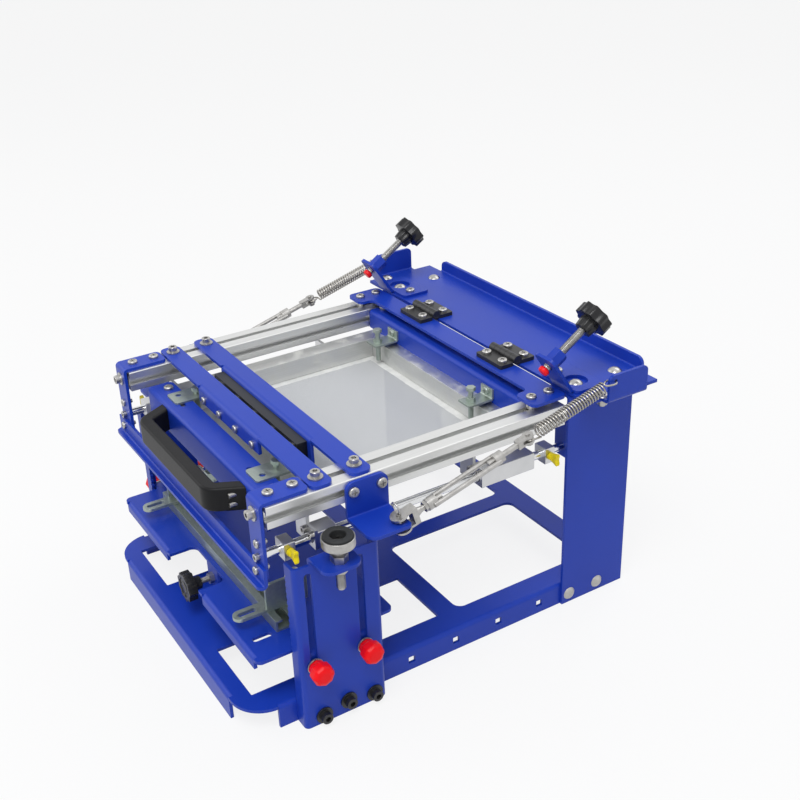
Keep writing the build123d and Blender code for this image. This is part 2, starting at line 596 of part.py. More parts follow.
def make_platform():
    low = PLATFORM_TOP - SHEET
    lobe = rounded_plate((-PLATFORM_X, PLATFORM_X), (PLATFORM_FRONT, PLATFORM_REAR), 6)
    notch = Pos(0, (PLATFORM_FRONT + NOTCH_BACK) / 2 - 10)
    notch = notch * fillet(Rectangle(2 * NOTCH_X, NOTCH_BACK - PLATFORM_FRONT + 20).vertices(), 7)
    sheet = prism(lobe - notch, low, PLATFORM_TOP)
    for side in SIDES:
        skirt = bent([(side * PLATFORM_X - side * 10, PLATFORM_TOP), (side * SKIRT_OUTER, PLATFORM_TOP),
                      (side * SKIRT_OUTER, PLATFORM_TOP - PLATFORM_SKIRT)][::-side])
        sheet += along_y(skirt, EAR_FRONT, EAR_REAR)
        lip = bent([(PLATFORM_FRONT, PLATFORM_TOP - 11), (PLATFORM_FRONT, PLATFORM_TOP),
                    (PLATFORM_FRONT + 8, PLATFORM_TOP)][::-1])
        ends = sorted((side * (NOTCH_X + 7), side * (PLATFORM_X - 8)))
        sheet -= box(ends, (PLATFORM_FRONT, PLATFORM_FRONT + SHEET + BEND), (low, PLATFORM_TOP))
        sheet += along_x(lip, *ends)
        slot = Rot(0, 0, 90) * slot_outline(18, 6)
        sheet -= Pos(side * PLATFORM_SLOT_X, PLATFORM_FRONT + 19, low) * extrude(slot, SHEET)
        for y in KNOB_YS:
            sheet = drill(sheet, M6 + RUNNING, 4 * SHEET, Pos(side * SKIRT_OUTER, y, KNOB_Z) * RIGHT)
        sheet = drill(sheet, M5 + HOLE_PLAY, 3 * SHEET, Pos(side * TRACK_SCREW_X, TRACK_Y, PLATFORM_TOP))
    tab = bent([(NOTCH_BACK + 12, PLATFORM_TOP), (NOTCH_BACK + 1, PLATFORM_TOP),
                (NOTCH_BACK + 1, PLATFORM_TOP - 28)])
    sheet += along_x(tab, -12, 12)
    return drill(sheet, M6 + RUNNING, 4 * SHEET, Pos(0, NOTCH_BACK + 2, PLATFORM_KNOB_Z) * FORWARD)


def make_track():
    """A lipped channel, open upwards."""
    low = PLATFORM_TOP
    walls = 2 * TRACK_WALL
    middle = Pos(TRACK_Y, low + TRACK_HEIGHT / 2)
    section = middle * Rectangle(TRACK_WIDTH, TRACK_HEIGHT)
    section -= middle * Rectangle(TRACK_WIDTH - walls, TRACK_HEIGHT - walls)
    mouth = Pos(TRACK_Y, low + TRACK_HEIGHT) * Rectangle(TRACK_MOUTH, 3 * TRACK_WALL)
    track = along_x(section - mouth, -TRACK_HALF, TRACK_HALF)
    screws = [Pos(s * TRACK_SCREW_X, TRACK_Y, low) for s in SIDES]
    return drill(track, M5 + HOLE_PLAY, 3 * TRACK_WALL, *screws)


def make_tongue():
    """A slotted strap on the track with an upright ear for its roller."""
    low = PLATFORM_TOP + TRACK_HEIGHT
    rear = TRACK_FRONT + TRACK_WIDTH
    strap = Pos(TONGUE_X, (TONGUE_TIP + rear) / 2) * Rectangle(TONGUE_WIDTH, rear - TONGUE_TIP)
    tip = [(TONGUE_X - TONGUE_WIDTH, TONGUE_TIP), (TONGUE_X + TONGUE_WIDTH, TONGUE_TIP)]
    strap = round_corners(strap, tip, TONGUE_WIDTH / 2 - 0.1)
    slot = Pos(TONGUE_X, TONGUE_TIP + 13) * Rot(0, 0, 90) * slot_outline(18, 5)
    strap = prism(strap - slot, low, low + SHEET)
    x = TONGUE_X + TONGUE_WIDTH / 2
    back, top = ROLLER_Y + EAR_EDGE, ROLLER_Z + EAR_EDGE
    ear = Pos((TRACK_FRONT + back) / 2, (low + top) / 2) * Rectangle(back - TRACK_FRONT, top - low)
    ear = fillet(ear.vertices().sort_by(Axis.Y)[-2:], 6)
    strap += along_x(ear, x - SHEET, x)
    axle = Pos(x - SHEET, ROLLER_Y, ROLLER_Z) * LEFT
    strap += disc(3.0, FREE, axle) + disc(M4, ROLLER_WIDTH + FREE + 0.5, axle)
    strap += disc(3.2, 1.6, axle * Pos(0, 0, ROLLER_WIDTH + 2 * FREE))
    return drill(strap, M5 + HOLE_PLAY, 3 * SHEET, Pos(STRAP_SCREW_X, TRACK_Y, low + SHEET))


add("platform", make_platform())
add("platform_track", make_track())
tongue = make_tongue()
at_strap = Pos(STRAP_SCREW_X, TRACK_Y, PLATFORM_TOP + TRACK_HEIGHT)
strap_set = placed(pan_screw(M5, SHEET + 5.5), at_strap * Pos(0, 0, SHEET))
strap_set.append(at_strap * Pos(0, 0, -TRACK_WALL) * DOWN * nut(M5))
roller_place = Pos(TONGUE_X + TONGUE_WIDTH / 2 - SHEET - FREE, ROLLER_Y, ROLLER_Z) * LEFT
roller = ring(ROLLER_RADIUS, M4 + RUNNING, ROLLER_WIDTH, roller_place)
roller_rims = roller.edges().filter_by(GeomType.CIRCLE).group_by(Axis.X)[0]
roller = fillet(roller_rims.sort_by(SortBy.RADIUS)[-1], 1.0)
left_tongue, right_tongue = both_sides(group([tongue] + strap_set))
left_roller, right_roller = both_sides(roller)
add("roller_tongue_left", left_tongue)
add("roller_tongue_right", right_tongue)
add("roller_left", left_roller)
add("roller_right", right_roller)

platform_screw_set = []
for side in SIDES:
    at = Pos(side * TRACK_SCREW_X, TRACK_Y, PLATFORM_TOP)
    track_screw = pan_screw(M5, SHEET + TRACK_WALL + 6)
    platform_screw_set += placed(track_screw, at * Pos(0, 0, TRACK_WALL))
    platform_screw_set.append(at * Pos(0, 0, -SHEET) * DOWN * nut(M5))
    for y in KNOB_YS:
        inside = Pos(side * (SKIRT_OUTER - SHEET), y, KNOB_Z) * outward(-side)
        platform_screw_set.append(inside * nut(M6, RUNNING))
platform_screw_set.append(Pos(0, NOTCH_BACK + 1, PLATFORM_KNOB_Z) * FORWARD * nut(M6, RUNNING))
add("platform_screws", *platform_screw_set)

platform_knob = disc(M6, KNOB_REACH + 14, Pos(0, 0, -KNOB_REACH))
platform_knob += Pos(0, 0, 8) * star_knob(15, 9, 6.5, 8, M6)
add("platform_knob", Pos(0, NOTCH_BACK - 4.5, PLATFORM_KNOB_Z) * FORWARD * platform_knob)


def make_clamp_knob():
    """A faceted red hand knob on a screw, with its loose washer against the tower web."""
    grip = Pos(0, 0, 2.6) * extrude(RegularPolygon(10.2, 8), 17)
    waist = Pos(0, 0, 2.6) * Cone(7.5, 13.5, 12, align=(Align.CENTER, Align.CENTER, Align.MIN))
    waist &= disc(12, 20, Pos(0, 0, 2))
    grip = grip & (waist + disc(12, 8, Pos(0, 0, 12)))
    grip = chamfer(grip.edges().filter_by(Plane.XY).group_by(Axis.Z)[-1], 2.0)
    screw = disc(M6, 26, Pos(0, 0, -16))
    return grip + screw + disc(7.5, 2.6 - FREE, Pos(0, 0, FREE))


clamp_knob = make_clamp_knob()
for side, name in zip(SIDES, ("left", "right")):
    for y, end in zip(KNOB_YS, ("front", "rear")):
        add(f"clamp_knob_{end}_{name}", Pos(side * WEB_OUTER, y, KNOB_Z) * outward(side) * clamp_knob)

# ---------------------------------------------------------------- side rails
RAIL_SLOT_Z = (RAIL_TOP + RAIL_BOTTOM) / 2


def rail_section():
    """The extrusion's section, with a slot in all four faces, drawn as (X, Z)."""
    section = Pos(RAIL_X, RAIL_SLOT_Z) * fillet(Rectangle(RAIL_WIDTH, RAIL_HEIGHT).vertices(), 1)
    for turn in (0, 90, 180, 270):
        half = (RAIL_HEIGHT if turn in (0, 180) else RAIL_WIDTH) / 2
        mouth = Pos(0, half - SLOT_LIP / 2) * Rectangle(SLOT_MOUTH, SLOT_LIP + 0.2)
        cavity = Pos(0, half - SLOT_LIP - SLOT_DEPTH / 2) * Rectangle(SLOT_CAVITY, SLOT_DEPTH)
        section -= Pos(RAIL_X, RAIL_SLOT_Z) * Rot(0, 0, turn) * (mouth + cavity)
    return section


rail = along_y(rail_section(), RAIL_FRONT, RAIL_REAR)
rail = drill(rail, M5 + TAP_PLAY, 50, Pos(RAIL_X, RAIL_FRONT, RAIL_SLOT_Z) * FORWARD)
add("side_rails", *both_sides(rail))

# ---------------------------------------------------------------- hinged cross plate
TONGUE_FRONT = HINGE_Y - 40.3
STRIP_FRONT = HINGE_Y - 25.3
TONGUE_HALF = 14.0
TONGUE_SCREW_YS = (HINGE_Y - 32.3, HINGE_Y - 12.8)


def make_cross_plate():
    strip = Pos(0, (STRIP_FRONT + CROSS_REAR) / 2) * Rectangle(2 * RAIL_X, CROSS_REAR - STRIP_FRONT)
    for side in SIDES:
        x = sorted((side * (RAIL_X - TONGUE_HALF), side * (RAIL_X + TONGUE_HALF)))
        strip += rounded_plate(x, (TONGUE_FRONT, CROSS_REAR), 6)
        strip += Pos(side * (RAIL_X - TONGUE_HALF - 3), STRIP_FRONT - 3) * Rectangle(6, 6)
        strip -= Pos(side * (RAIL_X - TONGUE_HALF - 6), STRIP_FRONT - 6) * Circle(6)
    plate = prism(strip, DECK_TOP - SHEET, DECK_TOP)
    for side in SIDES:
        screws = [(x, HINGE_SCREW_FRONT) for x in HINGE_SCREW_XS] + [(RAIL_X, y) for y in TONGUE_SCREW_YS]
        plate = drill(plate, M5 + HOLE_PLAY, 3 * SHEET, *[Pos(side * x, y, DECK_TOP) for x, y in screws])
    return plate


add("cross_plate", make_cross_plate())

# ---------------------------------------------------------------- front brackets and lower bar
BRACKET_X = (RAIL_X - 11.4, RAIL_X + 12.0)
BRACKET_REAR = 31.0
BRACKET_SCREW_YS = (0.0, 21.8)
ARM_BACK = RAIL_FRONT - BEND
ARM_FRONT = ARM_BACK - SHEET
ARM_BOTTOM = 152.0
ARM_SCREW_X = RAIL_X + 2
ARM_SCREW_ZS = (186.0, 161.5)
LOWER_BAR_TOP = 168.0
LOWER_BAR_BOTTOM = 150.0
LOWER_BAR_HALF = RAIL_X + 15.5
LOWER_FLANGE = 8.5          # forward of the arms


def make_front_bracket():
    top = RAIL_TOP + SHEET
    section = bent([(BRACKET_REAR, top), (ARM_FRONT, top), (ARM_FRONT, ARM_BOTTOM)])
    bracket = along_x(section, *BRACKET_X)
    middle = (BRACKET_X[0] + BRACKET_X[1]) / 2
    wide = BRACKET_X[1] - BRACKET_X[0]
    top = Pos(middle, (BRACKET_REAR + ARM_FRONT) / 2 - 5) * Rectangle(wide, BRACKET_REAR - ARM_FRONT + 10)
    top = fillet(top.vertices().group_by(Axis.Y)[-1], 5)
    arm = Pos(middle, (RAIL_TOP + ARM_BOTTOM) / 2 + 10) * Rectangle(wide, RAIL_TOP - ARM_BOTTOM + 20)
    arm = fillet(arm.vertices().group_by(Axis.Y)[0], 9)
    bracket &= prism(top, RAIL_BOTTOM, RAIL_TOP + 2 * SHEET) + along_y(arm, ARM_FRONT - 1, ARM_BACK + BEND)
    holes = [Pos(RAIL_X, y, RAIL_TOP) for y in BRACKET_SCREW_YS]
    holes += [Pos(RAIL_X, ARM_BACK, RAIL_SLOT_Z) * FORWARD]
    bracket = drill(bracket, M5 + HOLE_PLAY, 4 * SHEET, *holes)
    small = [Pos(SHAFT_X, ARM_BACK, SHAFT_Z) * FORWARD]
    small += [Pos(ARM_SCREW_X, ARM_BACK, z) * FORWARD for z in ARM_SCREW_ZS]
    return drill(bracket, M4 + HOLE_PLAY, 4 * SHEET, *small)


def make_lower_bar():
    """An angle across the front of both arms; its flange points forward."""
    front = ARM_FRONT - LOWER_FLANGE
    section = bent([(front, LOWER_BAR_BOTTOM), (ARM_FRONT, LOWER_BAR_BOTTOM), (ARM_FRONT, LOWER_BAR_TOP)])
    bar = along_x(section, -LOWER_BAR_HALF, LOWER_BAR_HALF)
    plan = Pos(0, front) * Rectangle(2 * LOWER_BAR_HALF, 60, align=(Align.CENTER, Align.MIN))
    plan = fillet(plan.vertices().group_by(Axis.Y)[0], LOWER_FLANGE - 3)
    bar &= prism(plan, LOWER_BAR_BOTTOM - 1, LOWER_BAR_TOP + 1)
    holes = [Pos(s * ARM_SCREW_X, ARM_FRONT, ARM_SCREW_ZS[-1]) * FORWARD for s in SIDES]
    return drill(bar, M4 + HOLE_PLAY, 4 * SHEET, *holes)


add("front_brackets", *both_sides(make_front_bracket()))
add("lower_bar", make_lower_bar())

# ---------------------------------------------------------------- guide shafts and their rear hangers
HANGER_REAR = HINGE_Y + 6.7
HANGER_FRONT = HINGE_Y - 29
HANGER_X = (RAIL_X - 9, BASE_X - 2)
HANGER_SCREW_YS = (HINGE_Y - 21, HINGE_Y - 11)
SHAFT_REAR = HANGER_REAR - SHEET
END_SCREW = 16.0


def make_hanger():
    low = SHAFT_Z - 11
    section = bent([(HANGER_REAR, low), (HANGER_REAR, RAIL_BOTTOM), (HANGER_FRONT, RAIL_BOTTOM)])
    hanger = along_x(section, *HANGER_X)
    hanger = drill(hanger, M4 + HOLE_PLAY, 4 * SHEET, Pos(SHAFT_X, SHAFT_REAR, SHAFT_Z) * FORWARD)
    screws = [Pos(RAIL_X, y, RAIL_BOTTOM) for y in HANGER_SCREW_YS]
    return drill(hanger, M5 + HOLE_PLAY, 4 * SHEET, *screws)


shaft = disc(SHAFT_RADIUS, SHAFT_REAR - ARM_BACK, Pos(SHAFT_X, ARM_BACK, SHAFT_Z) * BACKWARD)
for y in (ARM_BACK, SHAFT_REAR):
    shaft = drill(shaft, M4 + TAP_PLAY, 2 * END_SCREW, Pos(SHAFT_X, y, SHAFT_Z) * FORWARD)
add("guide_shafts", *both_sides(shaft))
add("shaft_hangers", *both_sides(make_hanger()))

# ---------------------------------------------------------------- squeegee bars, holder and blade
BAR_WIDTH = 20.0
SQUEEGEE_FRONT_Y = 42.6
SQUEEGEE_REAR_Y = 78.6
BAR_HALF = RAIL_X + 14
FRONT_BAR_LIP = 16.0
REAR_BAR_LIP = 24.0
FRONT_LIP_HALF = 64.0
REAR_LIP_HALF = 92.0
HOLDER_THICK = 10.0
HOLDER_HALF = REAR_LIP_HALF - 6
BLADE_THICK = 6.0
BLADE_HALF = HOLDER_HALF - 4
BLADE_BOTTOM = 186.0
HOLDER_BOTTOM = 205.0
HOLDER_TOP = RAIL_TOP - 1
LIP_SCREW_Z = RAIL_TOP - 8
BLADE_GRIP = 3.0


def make_squeegee_bar(y, lip, lip_half, screws):
    """A flat strap on both rails with a lip hanging from its front edge."""
    front = y - BAR_WIDTH / 2
    strap = Pos(0, y) * fillet(Rectangle(2 * BAR_HALF, BAR_WIDTH).vertices(), 7)
    strap = prism(strap, RAIL_TOP, RAIL_TOP + SHEET)
    strap -= box((-lip_half, lip_half), (front, front + SHEET + BEND), (RAIL_TOP, RAIL_TOP + SHEET))
    section = bent([(y, RAIL_TOP + SHEET), (front, RAIL_TOP + SHEET), (front, RAIL_TOP + SHEET - lip)])
    strap += along_x(section, -lip_half, lip_half)
    strap = drill(strap, M4 + HOLE_PLAY, 4 * SHEET, *screws)
    return drill(strap, M5 + HOLE_PLAY, 3 * SHEET, *[Pos(s * RAIL_X, y, RAIL_TOP) for s in SIDES])


def lip_screws(y, count, half):
    """Places of the screws in a lip's front face, Z to the front."""
    return [Pos((i / (count - 1) - 0.5) * 2 * half, y, LIP_SCREW_Z) * FORWARD for i in range(count)]


clamp_face = SQUEEGEE_REAR_Y - BAR_WIDTH / 2
front_face = SQUEEGEE_FRONT_Y - BAR_WIDTH / 2
clamp_screws = lip_screws(clamp_face, 5, HOLDER_HALF - 12)
front_screws = lip_screws(front_face, 4, FRONT_LIP_HALF - 12)
blade_y = clamp_face - 1 - BLADE_THICK / 2
blade_span = (blade_y - BLADE_THICK / 2, blade_y + BLADE_THICK / 2)
holder_span = (clamp_face - HOLDER_THICK, clamp_face)
holder = box((-HOLDER_HALF, HOLDER_HALF), holder_span, (HOLDER_BOTTOM, HOLDER_TOP))
holder -= box((-HOLDER_HALF, HOLDER_HALF), blade_span, (HOLDER_BOTTOM, HOLDER_BOTTOM + BLADE_GRIP))
holder = drill(holder, M4 + HOLE_PLAY, 3 * HOLDER_THICK, *clamp_screws)
blade = box((-BLADE_HALF, BLADE_HALF), blade_span, (BLADE_BOTTOM, HOLDER_BOTTOM + BLADE_GRIP))
blade = fillet(blade.edges().filter_by(Axis.X).group_by(Axis.Z)[0], 0.6)
add("squeegee_bar_front", make_squeegee_bar(SQUEEGEE_FRONT_Y, FRONT_BAR_LIP, FRONT_LIP_HALF, front_screws))
add("squeegee_bar_rear", make_squeegee_bar(SQUEEGEE_REAR_Y, REAR_BAR_LIP, REAR_LIP_HALF, clamp_screws))
add("squeegee_holder", holder)
add("squeegee_blade", blade)

# ---------------------------------------------------------------- spring anchors
ANCHOR_FRONT = 60.0
ANCHOR_REAR = 99.5
ANCHOR_TOP = 222.0
ANCHOR_SCREW_YS = (66.5, 93.0)
ANCHOR_OUT = SPRING_X + 10
JAW_PIN = 2.0
JAW_PLAY = 2.0              # the pin swings in its hole as the carrier lifts
PIN_PULL = 0.7              # the spring draws the pin off the centre of its hole


def make_anchor():
    low = ANCHOR_Z - SHEET / 2
    section = bent([(RAIL_OUTER, ANCHOR_TOP), (RAIL_OUTER, low), (ANCHOR_OUT, low)])
    anchor = along_y(section, ANCHOR_FRONT, ANCHOR_REAR)
    flange = Pos((ANCHOR_OUT + RAIL_OUTER) / 2 - 10, (ANCHOR_FRONT + ANCHOR_REAR) / 2)
    flange = flange * Rectangle(ANCHOR_OUT - RAIL_OUTER + 20, ANCHOR_REAR - ANCHOR_FRONT)
    flange = round_corners(flange, [(ANCHOR_OUT, ANCHOR_FRONT)], 9)
    flange = round_corners(flange, [(ANCHOR_OUT, ANCHOR_REAR)], 4)
    face = Pos((ANCHOR_FRONT + ANCHOR_REAR) / 2, (low + ANCHOR_TOP) / 2 - 5)
    face = face * Rectangle(ANCHOR_REAR - ANCHOR_FRONT, ANCHOR_TOP - low + 10)
    face = fillet(face.vertices().group_by(Axis.Y)[-1], 8)
    keep = prism(flange, low - 1, low + SHEET + BEND)
    keep += along_x(face, RAIL_OUTER - 1, RAIL_OUTER + SHEET + BEND)
    anchor &= keep
    screws = [Pos(RAIL_OUTER, y, RAIL_SLOT_Z) * RIGHT for y in ANCHOR_SCREW_YS]
    anchor = drill(anchor, M5 + HOLE_PLAY, 4 * SHEET, *screws)
    pin_hole = Pos(SPRING_X, ANCHOR_Y - PIN_PULL, ANCHOR_Z)
    return drill(anchor, JAW_PIN + JAW_PLAY, 4 * SHEET, pin_hole)


add("spring_anchors", *both_sides(make_anchor()))

# ---------------------------------------------------------------- fasteners of the tilting carrier
TEE_NUT = 9.4
TEE_NUT_THICK = 3.2
SPACER_RADIUS = 4.5
RAIL_SCREW = SHEET + SLOT_LIP + TEE_NUT_THICK
END_REACH = SHEET + 12      # screws into the ends of the rails and shafts
NUT_REACH = 5.0             # small screws beyond the sheet, through their nut
tee_nut = Pos(0, 0, -SHEET - SLOT_LIP - TEE_NUT_THICK) * (
    Box(TEE_NUT, TEE_NUT, TEE_NUT_THICK, align=(Align.CENTER, Align.CENTER, Align.MIN))
    - disc(M5 + TAP_PLAY, TEE_NUT_THICK))
into_rail = pan_screw(M5, RAIL_SCREW) + [tee_nut]
bar_screw = socket_screw(M5, RAIL_SCREW, 1.4) + [tee_nut]
spacer_height = DECK_TOP - SHEET - RAIL_TOP
tongue_set = pan_screw(M5, RAIL_SCREW + spacer_height)
tongue_set += [Pos(0, 0, -spacer_height) * tee_nut]
tongue_set += [ring(SPACER_RADIUS, M5 + HOLE_PLAY, spacer_height, Pos(0, 0, -SHEET - spacer_height))]

carrier_set = []
for side in SIDES:
    x = side * RAIL_X
    on_rail = RAIL_TOP + SHEET
    carrier_set += placed(into_rail, *[Pos(x, y, on_rail) for y in BRACKET_SCREW_YS])
    carrier_set += placed(bar_screw, *[Pos(x, y, on_rail) for y in (SQUEEGEE_FRONT_Y, SQUEEGEE_REAR_Y)])
    carrier_set += placed(tongue_set, *[Pos(x, y, DECK_TOP) for y in TONGUE_SCREW_YS])
    out = outward(side)
    on_anchor = Pos(side * (RAIL_OUTER + SHEET), 0, RAIL_SLOT_Z)
    carrier_set += placed(into_rail, *[on_anchor * Pos(0, y, 0) * out for y in ANCHOR_SCREW_YS])
    carrier_set += placed(into_rail, *[Pos(x, y, RAIL_BOTTOM - SHEET) * DOWN for y in HANGER_SCREW_YS])
    carrier_set += placed(socket_screw(M5, END_REACH, 1.2), Pos(x, ARM_FRONT, RAIL_SLOT_Z) * FORWARD)
    front_end = Pos(side * SHAFT_X, ARM_FRONT, SHAFT_Z) * FORWARD
    rear_end = Pos(side * SHAFT_X, HANGER_REAR, SHAFT_Z) * BACKWARD
    carrier_set += placed(socket_screw(M4, END_REACH), front_end, rear_end)
    high, low = [Pos(side * ARM_SCREW_X, ARM_FRONT, z) * FORWARD for z in ARM_SCREW_ZS]
    carrier_set += placed(pan_screw(M4, SHEET + NUT_REACH), high)
    carrier_set += placed(pan_screw(M4, 2 * SHEET + NUT_REACH), low * Pos(0, 0, SHEET))
    carrier_set += placed([Pos(0, 0, -SHEET) * DOWN * nut(M4)], high, low)
    for x in HINGE_SCREW_XS:
        place = Pos(side * x, HINGE_SCREW_FRONT, 0)
        hinge_screw = pan_screw(M5, LEAF + SHEET + NUT_REACH)
        carrier_set += placed(hinge_screw, place * Pos(0, 0, DECK_TOP + LEAF))
        carrier_set.append(place * Pos(0, 0, DECK_TOP - SHEET) * DOWN * nut(M5))
lip_nut = Pos(0, 0, -SHEET) * DOWN * nut(M4)
carrier_set += placed(pan_screw(M4, SHEET + NUT_REACH) + [lip_nut], *front_screws)
holder_screw = placed(pan_screw(M4, HOLDER_THICK + SHEET + NUT_REACH), Pos(0, 0, HOLDER_THICK))
carrier_set += placed(holder_screw + [lip_nut], *clamp_screws)
add("carrier_screws", *carrier_set)

# ---------------------------------------------------------------- screen carriage
FRAME_HALF = 126.0
FRAME_FRONT = 9.5
FRAME_REAR = 268.0
FRAME_MEMBER = 20.0
FRAME_BOTTOM = 183.0
FRAME_TOP = FRAME_BOTTOM + FRAME_MEMBER
FRAME_WALL = 2.5
MESH = 0.8
MESH_GLUE = 10.0
MESH_FRONT = 14.5           # leaves room for the nut under the frame
CHANNEL_HALF = 130.0
CHANNEL_FRONT = FRAME_FRONT - BEND - SHEET
CHANNEL_REAR = 30.0
CHANNEL_LOW = 178.0
CHANNEL_SCREW = (115.0, 21.0)
CHANNEL_SLOT_X = 76.0
REAR_CHANNEL_HALF = 134.0
REAR_CHANNEL = (262.0, 290.0)
REAR_CHANNEL_TOP = 223.0
REAR_CHANNEL_SCREW = (128.5, 277.0)
STUD_HOLE = (-10.0, 16.0)
STUD_LOW = 155.0


def frame_outline(inset):
    """The frame seen from above, with each member narrowed by inset on both sides."""
    outer = Rectangle(2 * (FRAME_HALF - inset), FRAME_REAR - FRAME_FRONT - 2 * inset)
    inner = Rectangle(2 * (FRAME_HALF - FRAME_MEMBER + inset),
                      FRAME_REAR - FRAME_FRONT - 2 * (FRAME_MEMBER - inset))
    return Pos(0, (FRAME_FRONT + FRAME_REAR) / 2) * (outer - inner)


def make_frame():
    frame = prism(frame_outline(0), FRAME_BOTTOM, FRAME_TOP)
    frame -= prism(frame_outline(FRAME_WALL), FRAME_BOTTOM + FRAME_WALL, FRAME_TOP - FRAME_WALL)
    x, y = CHANNEL_SCREW
    frame = drill(frame, M5 + TAP_PLAY, 3 * FRAME_WALL, *[Pos(s * x, y, FRAME_TOP) for s in SIDES])
    for s in SIDES:
        plates = [Pos(s * FRAME_HALF, y, PLATE_SCREW_Z) * RIGHT for y in PLATE_SCREW_YS]
        frame = drill(frame, M4 + TAP_PLAY, 3 * FRAME_WALL, *plates)
    return drill(frame, M8 + TAP_PLAY, 3 * FRAME_MEMBER, Pos(*STUD_HOLE, FRAME_BOTTOM))


def make_front_channel():
    top = FRAME_TOP + SHEET
    section = bent([(CHANNEL_REAR, top), (CHANNEL_FRONT, top), (CHANNEL_FRONT, CHANNEL_LOW)])
    channel = along_x(section, -CHANNEL_HALF, CHANNEL_HALF)
    plan = Pos(0, CHANNEL_REAR) * Rectangle(2 * CHANNEL_HALF, 60, align=(Align.CENTER, Align.MAX))
    plan = fillet(plan.vertices().group_by(Axis.Y)[-1], 6)
    channel &= prism(plan, CHANNEL_LOW, FRAME_TOP + SHEET)
    x, y = CHANNEL_SCREW
    for s in SIDES:
        channel = drill(channel, M5 + HOLE_PLAY, 3 * SHEET, Pos(s * x, y, FRAME_TOP))
        channel -= Pos(s * CHANNEL_SLOT_X, y - 2, FRAME_TOP) * extrude(slot_outline(12, 5), SHEET)
        handle = [Pos(s * HANDLE_X, CHANNEL_FRONT, z) * FORWARD for z in HANDLE_SCREW_ZS]
        channel = drill(channel, M5 + HOLE_PLAY, 3 * SHEET, *handle)
    return channel


def make_rear_channel():
    front, rear = REAR_CHANNEL
    section = bent([(rear, REAR_CHANNEL_TOP), (front, REAR_CHANNEL_TOP), (front, FRAME_TOP)])
    channel = along_x(section, -REAR_CHANNEL_HALF, REAR_CHANNEL_HALF)
    plan = Pos(0, rear) * Rectangle(2 * REAR_CHANNEL_HALF, 60, align=(Align.CENTER, Align.MAX))
    plan = fillet(plan.vertices().group_by(Axis.Y)[-1], 6)
    channel &= prism(plan, FRAME_TOP, REAR_CHANNEL_TOP)
    x, y = REAR_CHANNEL_SCREW
    channel = drill(channel, M5 + HOLE_PLAY, 3 * SHEET, *[Pos(s * x, y, REAR_CHANNEL_TOP) for s in SIDES])
    places = [Pos(s * REAR_CLAMP_X, front, REAR_CLAMP_Z + REAR_CLAMP_UP) * FORWARD for s in SIDES]
    return drill(channel, M4 + HOLE_PLAY, 4 * SHEET, *places)


# bearing blocks and their end plates
BLOCK_X = (142.0, 160.0)
BLOCK_Z = (SHAFT_Z - 8, SHAFT_Z + 8.5)
FRONT_BLOCK = (36.0, 54.0)
REAR_BLOCK = (203.0, 258.0)
PLATE_TOP = FRAME_TOP - 2
PLATE_RETURN = 26.0
PLATE_BOLTS = ((SHAFT_X - 7.2, SHAFT_Z - 4.2), (SHAFT_X - 7.2, SHAFT_Z + 5.0),
               (SHAFT_X + 5.2, SHAFT_Z + 5.6))
PLATE_BOLT_REACH = 8.0
PLATE_SCREW_Z = FRAME_BOTTOM + 10
PLATE_SCREW_BACK = 12.0     # behind the block's front face
PLATE_SCREW_YS = [block[0] + PLATE_SCREW_BACK for block in (FRONT_BLOCK, REAR_BLOCK)]


def make_bearing(span):
    """The block on the shaft and the bent plate that joins it to the screen frame."""
    block = box(BLOCK_X, span, BLOCK_Z)
    block = fillet(block.edges().filter_by(Axis.Y), 1.0)
    front = span[0]
    at_shaft = Pos(SHAFT_X, front, SHAFT_Z) * FORWARD
    block = drill(block, SHAFT_RADIUS + RUNNING, 200, at_shaft)
    plate = box((FRAME_HALF, BLOCK_X[1]), (front - SHEET, front), (BLOCK_Z[0], PLATE_TOP))
    step = ((BLOCK_X[0] + 4, BLOCK_X[1] + 1), (BLOCK_Z[1] + 2, PLATE_TOP + 1))
    plate -= box(step[0], (front - 2 * SHEET, front + SHEET), step[1])
    wing = ((FRAME_HALF, FRAME_HALF + SHEET), (FRAME_BOTTOM + 1, PLATE_TOP))
    plate += box(wing[0], (front - SHEET, front + PLATE_RETURN), wing[1])
    plate = drill(plate, SHAFT_RADIUS + 0.5, 4 * SHEET, at_shaft)
    bolts = [Pos(x, front - SHEET, z) * FORWARD for x, z in PLATE_BOLTS]
    plate = drill(plate, M4 + HOLE_PLAY, 4 * SHEET, *bolts)
    block = drill(block, M4 + TAP_PLAY, 2 * (SHEET + PLATE_BOLT_REACH + 1), *bolts)
    side = Pos(FRAME_HALF + SHEET, front + PLATE_SCREW_BACK, PLATE_SCREW_Z) * RIGHT
    plate = drill(plate, M4 + HOLE_PLAY, 4 * SHEET, side)
    screws = placed(socket_screw(M4, SHEET + PLATE_BOLT_REACH), *bolts)
    screws += placed(pan_screw(M4, SHEET + FRAME_WALL + 2), side)
    return [block, plate], screws


# clamps that hold the screen frame under the channels
CLAMP_X = 88.0
CLAMP_FRONT = 13.0
CLAMP_REAR = 46.0
CLAMP_WIDTH = 24.0
CLAMP_BOLT_Y = 38.0
CLAMP_BOLT_LOW = 188.0
REAR_CLAMP_X = 84.0
REAR_CLAMP_Z = 206.4
REAR_CLAMP_UP = 7.6
REAR_CLAMP_BOLT_Y = 242.0
REAR_CLAMP_BOLT_TOP = 223.0
REAR_CLAMP_HEIGHT = 11.5
CLAMP_PLATE = 2.0
HEX_HEAD = 1.4              # height of a hexagon head over its thread radius


def hex_bolt(radius, reach):
    head = extrude(hexagon(radius * 3.2), radius * HEX_HEAD)
    return head + disc(radius, reach, Pos(0, 0, -reach))


